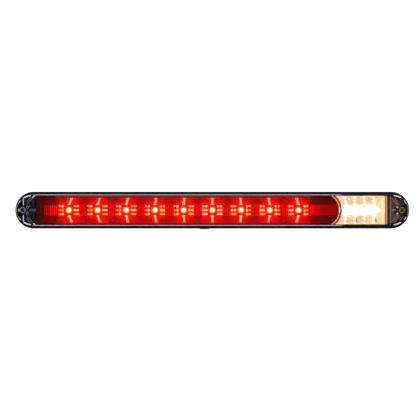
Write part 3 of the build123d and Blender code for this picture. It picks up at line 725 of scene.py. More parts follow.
@dataclass
class Layout:
    """Places that the added pieces share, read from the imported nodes, in millimetres."""

    red_leds: np.ndarray
    white_leds: np.ndarray
    dome_tip: float
    field_left: float
    field_right: float
    flange_half: float
    flange_level: float
    inner_lens_level: float
    divider_apex: float
    holes: np.ndarray
    lens_low: np.ndarray
    lens_high: np.ndarray
    divider_radius: float = 18.75
    divider_wall: float = 1.1
    end_wall_radius: float = 21.6
    end_wall_gap: float = 2.3
    end_wall: float = 1.6
    part_gap: float = 0.3
    flange_reach: float = 3.9
    flange_lip: float = 0.9
    dome_stand: float = 1.7
    hole_inset: float = 6.7
    band_half: float = 6.05
    flute_pitch: float = 2.22

    @classmethod
    def read(cls) -> "Layout":
        """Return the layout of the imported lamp."""
        red_low, red_high = (np.array(corner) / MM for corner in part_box("red_reflector"))
        lens_low, lens_high = (np.array(corner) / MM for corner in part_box("outer_lens"))
        return cls(
            red_leds=np.array([middle_mm(f"red_led_{k}_dome")[0] for k in range(1, 10)]),
            white_leds=np.array([middle_mm(f"white_led_{k}_dome")[0] for k in range(1, 5)]),
            dome_tip=-float(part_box("red_led_1_dome")[0][1]) / MM,
            field_left=red_low[0] + cls.flange_reach,
            field_right=float(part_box("white_reflector")[1][0]) / MM - cls.flange_reach,
            flange_half=red_high[2],
            flange_level=-red_low[1],
            inner_lens_level=-float(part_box("clear_inner_lens")[0][1]) / MM,
            divider_apex=float(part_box("section_divider")[1][0]) / MM - cls.divider_wall / 2,
            holes=np.array([lens_low[0] + cls.hole_inset, lens_high[0] - cls.hole_inset]),
            lens_low=lens_low,
            lens_high=lens_high,
        )

    @property
    def band_level(self) -> float:
        """Level of the flat band that the LEDs stand in."""
        return self.dome_tip - self.dome_stand

    @property
    def divider_x(self) -> float:
        """Centre of the divider's arc."""
        return self.divider_apex - self.divider_radius

    @property
    def end_wall_x(self) -> float:
        """Centre of the arc of the red lens's end wall."""
        return self.divider_apex + self.end_wall_gap - self.end_wall_radius

    def red_edge(self, z: np.ndarray | float) -> np.ndarray:
        """Right end of the red trough at a height: a circle just inside the divider."""
        radius = self.divider_radius - self.divider_wall / 2 - self.part_gap
        return self.divider_x + np.sqrt(radius**2 - z**2)

    def white_edge(self, z: np.ndarray | float) -> np.ndarray:
        """Left end of the white trough at a height: a circle just outside the red end wall."""
        return self.end_wall_x + np.sqrt((self.end_wall_radius + self.part_gap) ** 2 - z**2)

    def slope_frame(self) -> tuple[np.ndarray, np.ndarray, np.ndarray]:
        """Return the foot, the run and the normal of the upper slope, as z and level."""
        foot = np.array([self.band_half, self.band_level])
        run = np.array([self.flange_half - self.flange_lip, self.flange_level]) - foot
        return foot, run, np.array([-run[1], run[0]]) / np.linalg.norm(run)

    def slope_facets(
        self,
        xs: np.ndarray,
        bounds: tuple[float, float],
        half: float,
        lift: float = 0.25,
        crown: float = 0.3,
        shear: np.ndarray | None = None,
        sides: tuple[float, ...] = BOTH,
    ) -> Body:
        """Lay crowned facets on a strip of the slopes, one at each x on each side.

        Args:
            xs: middles of the facets.
            bounds: where the strip starts and ends, 0 at the band and 1 at the flange.
            half: half width of a facet.
            lift: how far its base stands off the slope.
            crown: height of its crown.
            shear: how far each x runs over half the strip's width; none by default.
            sides: 1 for the upper slope and -1 for the lower.

        Returns:
            Points and faces.
        """
        foot, run, normal = self.slope_frame()
        point = foot + (bounds[0] + bounds[1]) / 2 * run + lift * normal
        reach = (bounds[1] - bounds[0]) / 2 * run
        x, side = np.repeat(xs, len(sides)), np.tile(sides, len(xs))
        zero = np.zeros(len(x))
        lean = zero if shear is None else np.repeat(shear, len(sides))
        return pillows(
            np.stack([x, zero - point[1], side * point[0]], -1),
            np.stack([zero + half, zero, zero], -1),
            np.stack([lean, zero - reach[1], side * reach[0]], -1),
            np.stack([zero, zero - crown * normal[1], side * crown * normal[0]], -1),
        )

    def slope_lines(self, left: float, right: float, half: float) -> list[Body]:
        """Lay a thin bar along every groove of both slopes.

        Args:
            left: where the bars start.
            right: where they end.
            half: half width of a bar, as a share of the slope.

        Returns:
            Points and faces of each pair of bars.
        """
        middle, reach = np.array([(left + right) / 2]), (right - left) / 2
        grooves = [k / SLOPE_FLUTES for k in range(1, SLOPE_FLUTES)]
        return [
            self.slope_facets(middle, (k - half, k + half), reach, lift=0.02, crown=0.12) for k in grooves
        ]

    def band_tiles(
        self, places: list[tuple[float, float, float, float]], crown: float = 0.35, lift: float = 0.42
    ) -> Body:
        """Lay crowned facets flat on the band.

        Args:
            places: x, z, half width and half height of each.
            crown: height of the crown.
            lift: how far the base stands off the band.

        Returns:
            Points and faces.
        """
        x, z, wide, high = np.array(places).T
        zero = np.zeros(len(x))
        return pillows(
            np.stack([x, zero - (self.band_level + lift), z], -1),
            np.stack([wide, zero, zero], -1),
            np.stack([zero, zero, high], -1),
            np.stack([zero, zero - crown, zero], -1),
        )


@dataclass
class Trough:
    """A fluted reflector trough: an upright-fluted band between two lengthwise-fluted slopes."""

    layout: Layout
    left: float
    right: float
    leds: np.ndarray
    plain_half: float = 5.3
    flute_rise: float = 0.42
    slope_rise: float = 0.3
    samples: int = 8
    stations: int = 90
    shell: float = 1.1
    flange: float = 1.2
    blend_run: float = 26.0
    edge_ease: float = 0.15
    fade_run: float = 0.4
    plain_drop: float = 0.4
    flange_inset: float = 0.5
    foot_inset: float = 0.4

    def ends(self, x: np.ndarray, z: np.ndarray) -> np.ndarray:
        """Return the lengthwise places unchanged; the troughs that end on a neighbour's arc bend them at
        heights z.
        """
        return x

    def band(self) -> Body:
        """Band with a crowned flute every pitch, plain round each LED.

        The level is the band's own plus rise * 4 f (1 - f) * (1 - (z / half)^8), where f is the place
        within a flute, and the rise fades out within plain_half of an LED.

        Returns:
            Points and faces.
        """
        layout = self.layout
        count = round((self.right - self.left) / layout.flute_pitch) * self.samples
        x = np.linspace(self.left, self.right, count + 1)[:, None]
        share = (np.arange(count + 1) / self.samples)[:, None] % 1.0
        z = layout.band_half * np.array([-1.0, -0.97, -0.9, -0.75, 0.0, 0.75, 0.9, 0.97, 1.0])[None, :]
        near = np.abs(x - self.leds[None, :]).min(1, keepdims=True)
        fade = np.clip((near - self.plain_half) / self.fade_run, 0.0, 1.0)
        rise = self.flute_rise * 4 * share * (1 - share) * (1 - (z / layout.band_half) ** 8) * fade
        front = layout.band_level + rise - self.plain_drop * (1 - fade)
        back = np.full_like(front, layout.band_level - self.shell)
        heights = np.broadcast_to(z, front.shape)
        bent = self.ends(np.broadcast_to(x, front.shape), heights)
        face, rear = (np.stack([bent, -level, heights], -1) for level in (front, back))
        return carried(np.concatenate([face, rear[:, ::-1]], 1))

    def slope(self, side: int) -> Body:
        """Sloping wall whose section is a row of arcs, closed by its back and its flange.

        Flute k rises from the band by equal steps in z and level, and each point between them stands
        off the chord by rise * 4 f (1 - f) along the wall's normal.

        Args:
            side: 1 for the upper wall and -1 for the lower.

        Returns:
            Points and faces.
        """
        layout = self.layout
        foot, run, normal = layout.slope_frame()
        along = np.linspace(0.0, 1.0, SLOPE_FLUTES * self.samples + 1)[:, None]
        share = (along * SLOPE_FLUTES) % 1.0
        face = foot + along * run + self.slope_rise * 4 * share * (1 - share) * normal
        top, back = layout.flange_level, layout.band_level - self.shell
        tail = np.array(
            [
                [layout.flange_half, top],
                [layout.flange_half, top - self.flange],
                [layout.flange_half - self.flange_inset, top - self.flange],
                [layout.band_half + self.foot_inset, back],
                [layout.band_half, back],
            ]
        )
        section = np.concatenate([face, tail])
        x = np.linspace(self.left, self.right, self.stations)[:, None]
        z = np.broadcast_to(side * section[None, :, 0], (self.stations, len(section)))
        bent = self.ends(np.broadcast_to(x, z.shape), z)
        return carried(np.stack([bent, np.broadcast_to(-section[None, :, 1], z.shape), z], -1))

    def end_wall(self, x: float, side: int, wall: float = 2.3) -> list[Body]:
        """Flat wall that closes the trough, and the flange beyond it.

        Args:
            x: inner face of the wall.
            side: -1 at the left and 1 at the right.
            wall: thickness of the wall.

        Returns:
            Both bodies.
        """
        layout = self.layout
        half, front = layout.flange_half, -layout.flange_level
        spans = (
            (0.0, wall, self.shell - layout.band_level),
            (wall, layout.flange_reach, front + self.flange),
        )
        bodies = []
        for start, end, back in spans:
            near, far = sorted((x + side * start, x + side * end))
            bodies.append(slab((near, front, -half), (far, back, half), self.edge_ease))
        return bodies


@dataclass
class RedTrough(Trough):
    """Trough under the red lens, ending at the right on the divider's arc."""

    def ends(self, x: np.ndarray, z: np.ndarray) -> np.ndarray:
        """Pull the last stretch back to the circle just inside the divider."""
        start = self.right - self.blend_run
        share = np.clip((x - start) / self.blend_run, 0.0, 1.0)
        return np.where(x > start, start + share * (self.layout.red_edge(z) - start), x)


@dataclass
class WhiteTrough(Trough):
    """Trough of the white section, starting at the left on the red end wall's arc."""

    def ends(self, x: np.ndarray, z: np.ndarray) -> np.ndarray:
        """Stretch the first run to the circle just outside the red end wall."""
        end = self.left + self.blend_run
        share = np.clip((end - x) / self.blend_run, 0.0, 1.0)
        return np.where(x < end, end + share * (self.layout.white_edge(z) - end), x)


@dataclass
class Section:
    """A part of the lamp whose pieces are laid out together and wear the shared finishes."""

    layout: Layout
    wardrobe: Wardrobe

    def wear(
        self,
        name: str,
        bodies: list[Body],
        finish: Finish,
        slot: str = "bright_plating",
        stands_for: tuple[str, ...] = (),
        shine: np.ndarray | None = None,
    ) -> None:
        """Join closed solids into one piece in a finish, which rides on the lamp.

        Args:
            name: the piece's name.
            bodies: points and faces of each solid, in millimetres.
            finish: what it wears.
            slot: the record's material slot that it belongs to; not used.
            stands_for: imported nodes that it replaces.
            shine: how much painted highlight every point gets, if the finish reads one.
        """
        starts = np.cumsum([0] + [len(points) for points, _ in bodies])
        faces = [[k + int(start) for k in face] for start, (_, part) in zip(starts, bodies) for face in part]
        points = np.concatenate([points for points, _ in bodies]) * MM
        mesh = bpy.data.meshes.new(name)
        mesh.from_pydata(points.tolist(), [], faces)
        work = bmesh.new()
        work.from_mesh(mesh)
        bmesh.ops.recalc_face_normals(work, faces=work.faces)
        work.to_mesh(mesh)
        work.free()
        mesh.shade_smooth()
        mesh.set_sharp_from_angle(angle=CREASE)
        if shine is not None:
            data = mesh.attributes.new("shine", "FLOAT", "POINT").data
            data.foreach_set("value", shine.astype(np.float32))
        mesh.materials.append(self.wardrobe.material(finish.value))
        made = bpy.data.objects.new(name, mesh)
        bpy.context.scene.collection.objects.link(made)
        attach(made, "root")
        if stands_for:
            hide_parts(*stands_for)
        LOG.info("%s: %d faces", name, len(mesh.polygons))


@dataclass
class RedSection(Section):
    """The brake light's reflector, with the LEDs' light and its reflections painted on it as glowing pieces.
    """

    inner_column: float = 6.85
    outer_column: float = 9.95
    column_half: float = 1.4
    row_height: float = 4.5
    row_half: float = 0.95
    gap_half: float = 1.2
    # These set how the painted reflections get hotter and lean towards the lamp's middle the further an LED
    # lies from it.
    share_full_at: float = 90.0
    lean_full_at: float = 162.0
    lean: float = 6.0
    streak_half: float = 1.35
    lit_reach: float = 12.6
    post_z: float = 11.4
    cap_half: tuple[float, float] = (1.5, 1.3)
    cap_levels: tuple[float, float] = (21.2, 15.4)
    cap_ease: float = 0.4
    bar_half: float = 5.6
    groove_half: float = 0.3
    groove_share: float = 0.03
    left_line_half: float = 0.34
    left_line_gap: float = 1.1
    right_line_half: float = 0.32
    right_line_gap: float = 1.4
    right_line_trim: float = 0.2
    outward_from: float = 0.3
    hottest_from: float = 0.9
    ember_until: float = 0.75

    def lit_span(self) -> tuple[float, float]:
        """Return where the lit stretch of the reflector starts and ends."""
        leds = self.layout.red_leds
        return leds[0] - self.lit_reach, leds[-1] + self.lit_reach

    def trough(self) -> None:
        """Make the reflector in three stretches; their platings glow, which paints the LEDs' light on them,
        most between the first LED and the last.
        """
        layout, leds = self.layout, self.layout.red_leds
        first, last = self.lit_span()
        # The platings paint the LEDs' glow: faintest on the left stretch and the right slopes, dim on the
        # middle slopes, warmer on the right band and brightest on the middle band.
        edge, dark, dusk = float(layout.red_edge(0.0)), Finish.RED_GLOW_PLATING, Finish.RED_DIM_GLOW
        stretches = (
            ("left", Trough(layout, layout.field_left, first, leds), dark, dark, ()),
            ("middle", Trough(layout, first, last, leds), Finish.RED_LIT, dusk, ("red_reflector",)),
            ("right", RedTrough(layout, last, edge, leds), Finish.RED_WARM_GLOW, dark, ()),
        )
        for name, part, band, slopes, stands_for in stretches:
            self.wear(f"red_band_{name}", [part.band()], band, stands_for=stands_for)
            self.wear(f"red_slopes_{name}", [part.slope(1), part.slope(-1)], slopes)
        # The end wall wears a dim red painted glow.
        self.wear("red_reflector_end_wall", stretches[0][1].end_wall(layout.field_left, -1), Finish.WINE_GLOW)

    def grooves(self) -> None:
        """Make the painted shade in the grooves between the flutes, and the flutes whose painted glow fades
        towards both ends.
        """
        layout, high = self.layout, self.bar_half
        first, last = self.lit_span()
        places = np.arange(first, last, layout.flute_pitch)
        away = np.abs(places[:, None] - layout.red_leds[None, :]).min(1)
        far = places[away > self.outer_column + self.column_half]
        upright = layout.band_tiles([(x, 0.0, self.groove_half, high) for x in far], crown=0.05)
        lines = layout.slope_lines(first, last, self.groove_share)
        self.wear("red_groove_shade_lines", [upright, *lines], Finish.RED_GROOVE_SHADE)
        steps = np.arange(7) * layout.flute_pitch
        short = high - self.right_line_trim
        left = [(x, 0.0, self.left_line_half, high) for x in first - self.left_line_gap - steps]
        right = [(x, 0.0, self.right_line_half, short) for x in last + self.right_line_gap + steps]
        for name, rows, finish in (
            ("bright", left[:4] + right[:2], Finish.RED_FLUTE_GLOW),
            ("dim", left[4:] + right[2:5], Finish.RED_LIT),
        ):
            self.wear(f"red_flutes_{name}", [layout.band_tiles(rows, crown=0.1)], finish)

    def post_caps(self) -> None:
        """Cover the ends of the housing posts, midway between two LEDs near each end."""
        leds = self.layout.red_leds
        (wide, high), (top, foot) = self.cap_half, self.cap_levels
        caps = [
            slab((x - wide, -top, z - high), (x + wide, -foot, z + high), self.cap_ease)
            for x in np.array([leds[1] + leds[2], leds[-2] + leds[-1]]) / 2
            for z in (-self.post_z, self.post_z)
        ]
        # The caps glow dimly like the slopes round them, which is painted light.
        self.wear("red_post_caps", caps, Finish.RED_DIM_GLOW)

    def cups(self) -> None:
        """Make the painted glow round each dome: a yellow collar, an orange halo and a red ring.

        Each is turned from its inner and its outer edge, given as radius and height above the band.
        """
        base = -0.4
        for name, finish, inner, outer in (
            ("collar_glows", Finish.HALO, (2.35, 0.5), (3.1, 0.7)),
            ("halos", Finish.EMBER_GLOW, (3.15, 0.6), (4.0, 0.15)),
            ("rings", Finish.RING, (4.05, 0.1), (5.2, 0.25)),
        ):
            section = np.array([[inner[0], base], inner, outer, [outer[0], base]])
            section += np.array([0.0, self.layout.band_level])
            rings = [lathe((x, 0.0), section) for x in self.layout.red_leds]
            self.wear(f"red_led_{name}", rings, finish, "red_glow")

    def patches(self) -> None:
        """Make the painted reflections of every LED: two columns of three glowing facets on each side.

        The further an LED is from the lamp's middle, the hotter its outward column gets.
        """
        rows, gaps = (self.row_height, 0.0, -self.row_height), (self.row_height / 2, -self.row_height / 2)
        wide, high = self.column_half, self.row_half
        spots: dict[Finish, list[tuple[float, ...]]] = {
            finish: [] for finish in (Finish.HOT_REFLECTION, Finish.CREAM_REFLECTION, Finish.AMBER_REFLECTION, Finish.EMBER_GLOW, Finish.RING)
        }
        for x in self.layout.red_leds:
            away = 1.0 if x > 0 else -1.0
            share = min(1.0, abs(x) / self.share_full_at)
            for side in (-1.0, 1.0):
                columns = inner_x, outer_x = x + side * self.inner_column, x + side * self.outer_column
                if side == away and share > self.outward_from:
                    for z in rows:
                        spot = Finish.HOT_REFLECTION if z != 0.0 or share < self.hottest_from else Finish.AMBER_REFLECTION
                        spots[spot].append((inner_x, z, wide * 0.8, high))
                        spots[Finish.AMBER_REFLECTION].append((outer_x, z, wide * 0.8, high * 0.8))
                    spots[Finish.EMBER_GLOW] += [(inner_x, z, wide * 0.7, self.gap_half) for z in gaps]
                    continue
                for z in rows:
                    spot = Finish.CREAM_REFLECTION if z == 0.0 or share < self.outward_from else Finish.AMBER_REFLECTION
                    spots[spot] += [(at, z, wide * 0.95, high * 0.85) for at in columns]
                spot = Finish.EMBER_GLOW if share < self.ember_until else Finish.RING
                spots[spot] += [(at, z, wide * 0.9, self.gap_half) for z in gaps for at in columns]
        # Each piece is a set of painted reflections of the LEDs, named by its colour.
        for name, (finish, places) in zip(("hot", "cream", "amber", "ember", "warm"), spots.items()):
            tiles = self.layout.band_tiles(places)
            self.wear(f"red_band_{name}_facets", [tiles], finish, "red_glow")

    def leaning(self, bounds: tuple[float, float], half: float, lift: float = 0.25) -> Body:
        """Lay one painted reflection of each LED on each slope, leaning towards the lamp's middle.

        Args:
            bounds: the shares of the slope where it starts and ends.
            half: its half width.
            lift: how far its base stands off the slope.

        Returns:
            Points and faces.
        """
        xs = self.layout.red_leds
        pull = -xs / self.lean_full_at * self.lean
        middle = xs + pull * ((bounds[0] + bounds[1]) / 2)
        shear = pull * (bounds[1] - bounds[0]) / 2
        return self.layout.slope_facets(middle, bounds, half, lift, shear=shear)

    def streaks(self) -> None:
        """Make the painted reflection streak above and below each LED, one facet to a flute, over a painted
        red glow on the slopes.
        """
        flutes = [(k / SLOPE_FLUTES, (k + 1) / SLOPE_FLUTES) for k in range(SLOPE_FLUTES)]
        hot = [self.leaning((0.02, 0.12), self.streak_half * 1.3), self.leaning((0.17, 0.26), 1.15)]
        cream = [self.leaning((low + 0.025, high - 0.025), 1.05) for low, high in flutes[2:5]]
        glow_wash = [self.leaning(bounds, 9.0 - 1.1 * k, lift=0.02) for k, bounds in enumerate(flutes)]
        amber = [self.leaning((flutes[5][0] + 0.01, flutes[5][1] - 0.01), self.streak_half)]
        for name, bodies, finish, slot in (
            ("hot_reflections", hot, Finish.HOT_REFLECTION, "red_glow"),
            ("cream_reflections", cream, Finish.CREAM_REFLECTION, "red_glow"),
            ("glow_wash", glow_wash, Finish.RED_LIT, "bright_plating"),
            ("amber_reflections", amber, Finish.AMBER_REFLECTION, "red_glow"),
        ):
            self.wear(f"red_slope_{name}", bodies, finish, slot)

    def build(self) -> None:
        """Build the whole section."""
        self.trough()
        self.grooves()
        self.post_caps()
        self.cups()
        self.patches()
        self.streaks()


@dataclass
class WhiteSection(Section):
    """The reversing light's reflector, with painted light on it: a white-hot band and bright columns of the
    LEDs' reflections.
    """

    column_half: float = 1.3
    mark_half: float = 0.8
    mark_shifts: tuple[float, float] = (1.9, 2.2)
    groove_share: float = 0.024
    tail_gap: float = 0.65
    tail_pitch: float = 1.3
    tail_half: float = 0.63
    tail_heights: tuple[float, ...] = (4.6, 3.5, 2.3, 1.2)
    # lean draws the painted reflections in towards the lamp's middle as the slope rises.
    lean: float = 0.0175
    end_wall: float = 0.4
    strip_depth: float = 1.2
    edge_ease: float = 0.15

    def trough(self) -> None:
        """Make the reflector, its end wall and the strips over the flange beyond it."""
        layout = self.layout
        left, right, half = float(layout.white_edge(0.0)), layout.field_right, layout.flange_half
        made = WhiteTrough(layout, left, right, layout.white_leds, plain_half=0.0)
        # The plating glows, which paints the LEDs' light onto the band, slopes and end wall.
        plating = Finish.WHITE_GLOW_PLATING
        self.wear("white_reflector_band", [made.band()], plating, stands_for=("white_reflector",))
        self.wear("white_reflector_upper_slope", [made.slope(1)], plating)
        self.wear("white_reflector_lower_slope", [made.slope(-1)], plating)
        self.wear("white_end_wall", made.end_wall(right, 1, self.end_wall)[:1], plating)
        front, back = -layout.flange_level - 0.05, -layout.flange_level + self.strip_depth
        # The strips paint light and shade: a bright line, shade in the groove and at the edge, and a glow on
        # the flange.
        for name, start, end, finish in (
            ("line", -1.4, -0.5, Finish.WHITE_WARM_GLOW),
            ("groove", 0.45, 1.1, Finish.UMBER_SHADE),
            ("flange", 1.15, 3.1, Finish.TAN_GLOW),
            ("edge", 3.15, layout.flange_reach, Finish.UMBER_SHADE),
        ):
            body = slab((right + start, front, -half), (right + end, back, half), self.edge_ease)
            self.wear(f"white_end_{name}", [body], finish)

    def band_glow(self) -> None:
        """Make the painted white-hot glow that covers the band between and round the LEDs, as crowned
        facets.
        """
        leds = self.layout.white_leds
        pitch = float(np.diff(leds).mean())
        sixth = pitch / 6
        shifts = ((0.0, 5.6), (0.33, 5.0), (-0.33, 5.0))
        places = []
        for x in leds:
            kept = shifts if x < leds[-1] else shifts[::2]
            places += [(x + shift * pitch, 0.0, sixth * 0.97, height) for shift, height in kept]
        last = leds[-1] + sixth + self.tail_gap
        for k, height in enumerate(self.tail_heights):
            places.append((last + k * self.tail_pitch, 0.0, self.tail_half, height))
        tiles = self.layout.band_tiles(places, crown=0.25, lift=0.45)
        self.wear("white_band_painted_glow", [tiles], Finish.WHITE_HOT_GLOW, "white_glow")

    def slope_row(
        self, xs: np.ndarray, bounds: tuple[float, float], half: float, sides: tuple[float, ...] = BOTH
    ) -> Body:
        """Lay facets on a strip of the slopes, one at each x, drawn in a little as the strip rises."""
        drawn = xs * (1 - self.lean * (bounds[0] + bounds[1]) / 2)
        return self.layout.slope_facets(drawn, bounds, half, sides=sides)

    def columns(self) -> None:
        """Make the painted reflections of the LEDs: bright columns in line with them, brightest on three of
        the flutes.
        """
        xs = self.layout.white_leds
        steps = [((k + 0.06) / SLOPE_FLUTES, (k + 0.94) / SLOPE_FLUTES) for k in range(SLOPE_FLUTES)]
        hot = [self.slope_row(xs, steps[k], wide) for k, wide in ((0, 1.6), (3, 1.5), (6, 1.6))]
        warm = [self.slope_row(xs, steps[k], self.column_half) for k in (1, 2, 4, 5)]
        self.wear("white_slope_hot_reflections", hot, Finish.WHITE_HOT_GLOW, "white_glow")
        self.wear("white_slope_warm_reflections", warm, Finish.WHITE_WARM_GLOW, "white_glow")

    def marks(self) -> None:
        """Make the small glowing brown marks low on the lower slope and the painted shade in the grooves
        between the flutes.
        """
        layout = self.layout
        xs = layout.white_leds[[1, 3]] + np.array(self.mark_shifts)
        brown_spots = self.slope_row(xs, (0.4, 0.8), self.mark_half, sides=(-1.0,))
        self.wear("white_reflector_brown_marks", [brown_spots], Finish.BROWN_MARKS)
        left, right = float(layout.white_edge(0.0)) + 1.0, layout.field_right - 0.4
        lines = layout.slope_lines(left, right, self.groove_share)
        self.wear("white_groove_shade_lines", lines, Finish.WHITE_GROOVE_SHADE)

    def build(self) -> None:
        """Build the whole section."""
        self.trough()
        self.band_glow()
        self.columns()
        self.marks()


@dataclass
class SectionWallGlow(Section):
    """The painted highlight along the divider's edge and the painted glow of the red lens's end wall."""

    edge_rise: float = 0.12
    edge_ease: float = 0.15
    stations: int = 40
    hot_half: float = 2.8

    def arc_rib(self, centre: float, inner: float, outer: float, span: tuple[float, float]) -> Body:
        """A flat rib on the inner lens along an arc, drawn between two radii and two heights.

        Its points are centre + r cos t and r sin t, for r between the radii and t whose sines reach the
        two heights on the middle radius.

        Args:
            centre: x of the arc's centre.
            inner: inner radius.
            outer: outer radius.
            span: lowest and highest z.

        Returns:
            Points and faces.
        """
        middle = (inner + outer) / 2
        turn = np.linspace(math.asin(span[0] / middle), math.asin(span[1] / middle), self.stations)[:, None]
        ease, shoulder = self.edge_ease, 0.6 * self.edge_rise
        radii = np.array([inner, inner + ease, outer - ease, outer, outer, inner])[None, :]
        rises = np.array([shoulder, self.edge_rise, self.edge_rise, shoulder, 0.0, 0.0])
        across = centre + radii * np.cos(turn)
        levels = np.broadcast_to(-(self.layout.inner_lens_level + rises), across.shape)
        return carried(np.stack([across, levels, radii * np.sin(turn)], -1))

    def build(self) -> None:
        """Build the painted highlight and glow."""
        layout = self.layout
        half = layout.flange_half - 0.1
        radius, wall = layout.divider_radius, layout.divider_wall / 2
        outer = layout.end_wall_radius
        inner, middle = outer - layout.end_wall, outer - layout.end_wall * 0.45
        divider, end = (layout.divider_x, radius - wall, radius + wall), layout.end_wall_x
        hot = self.hot_half
        core, sides = [(-hot, hot)], [(-half, -hot), (hot, half)]
        for name, finish, slot, arc, spans in (
            ("divider_edge_hot_highlight", Finish.DIVIDER_HOT_HIGHLIGHT, "bright_plating", divider, core),
            ("divider_edge", Finish.DIVIDER_EDGE_HIGHLIGHT, "bright_plating", divider, sides),
            ("end_wall_edge_glow", Finish.END_WALL_GLOW, "red_lens", (end, inner, middle), [(-half, half)]),
            ("end_wall_rim_painted_glow", Finish.END_WALL_RIM_GLOW, "red_lens", (end, middle, outer), [(-half, half)]),
        ):
            self.wear(name, [self.arc_rib(*arc, span) for span in spans], finish, slot)


@dataclass(frozen=True)
class Marks:
    """The painted bars and rings of one finish in an end cell.

    A bar is its start, its end, its half width and its sideways bow; pairs are bars that are mirrored
    in z as well. A ring is its centre and both radii. A place is the distance outward from the screw
    hole, and z.
    """

    pairs: tuple[tuple[float, ...], ...] = ()
    bars: tuple[tuple[float, ...], ...] = ()
    rings: tuple[tuple[float, ...], ...] = ()


# Painted highlights near each tip, the same at both ends.
TIP_GLINTS = ((-9.4, 16.2, -1.4, 13.6, 0.45, 0.25), (2.4, 11.0, 5.1, 7.1, 0.7, 0.3))

# The marks in the cells round each screw boss, by finish: mostly painted highlights, sheen, reflections and
# glow.
CELLS: dict[str, dict[Finish, Marks]] = {
    "left": {
        Finish.GLINT: Marks(
            pairs=(*TIP_GLINTS, (-0.9, 5.4, -0.9, 12.9, 0.42, 0.0)),
            bars=((-10.4, 13.2, -13.6, 16.3, 0.5, 0.0), (-11.6, -14.8, -13.8, -16.2, 0.5, 0.0)),
        ),
        Finish.SHEEN: Marks(rings=((0.0, 0.0, 2.5, 3.3), (-5.3, 3.1, 0.9, 1.4), (-5.3, -3.5, 0.9, 1.4))),
        Finish.DIM_HIGHLIGHT: Marks(
            pairs=(
                (-7.4, 0.85, -15.0, 0.85, 0.28, 0.0),
                (-5.0, 7.2, -11.0, 13.6, 0.28, 0.0),
                (-4.2, 9.0, -9.6, 15.0, 0.28, 0.0),
            )
        ),
        Finish.STRAW_HIGHLIGHT: Marks(bars=((4.1, 1.3, 4.1, -1.3, 0.9, 0.0),)),
        Finish.CRIMSON_REFLECTION: Marks(pairs=((-12.5, 2.4, -12.5, 12.4, 0.4, 0.0),)),
        Finish.NIGHT_SHEEN: Marks(),
    },
    "right": {
        Finish.GLINT: Marks(pairs=TIP_GLINTS),
        Finish.STRAW_HIGHLIGHT: Marks(rings=((-5.2, 3.3, 0.1, 1.0), (-5.2, -3.9, 0.1, 1.0))),
        Finish.BRONZE_REFLECTION: Marks(
            bars=((-13.0, -16.2, -13.0, 16.2, 0.32, 0.0),),
            pairs=(
                (-11.6, 0.7, -6.4, 0.7, 0.24, 0.0),
                (-4.6, 5.4, -11.0, 13.0, 0.2, 0.0),
                (-3.4, 6.2, -8.6, 14.2, 0.2, 0.0),
            ),
            rings=((0.0, 0.0, 2.6, 3.1),),
        ),
        Finish.INK: Marks(rings=((0.0, 0.0, 3.3, 3.9),)),
        Finish.BROWN_GLOW: Marks(),
    },
}
# The cell floors wear a painted glow: a bluish sheen at the left and a brown glow at the right.
FLOORS = (Finish.NIGHT_SHEEN, Finish.BROWN_GLOW)


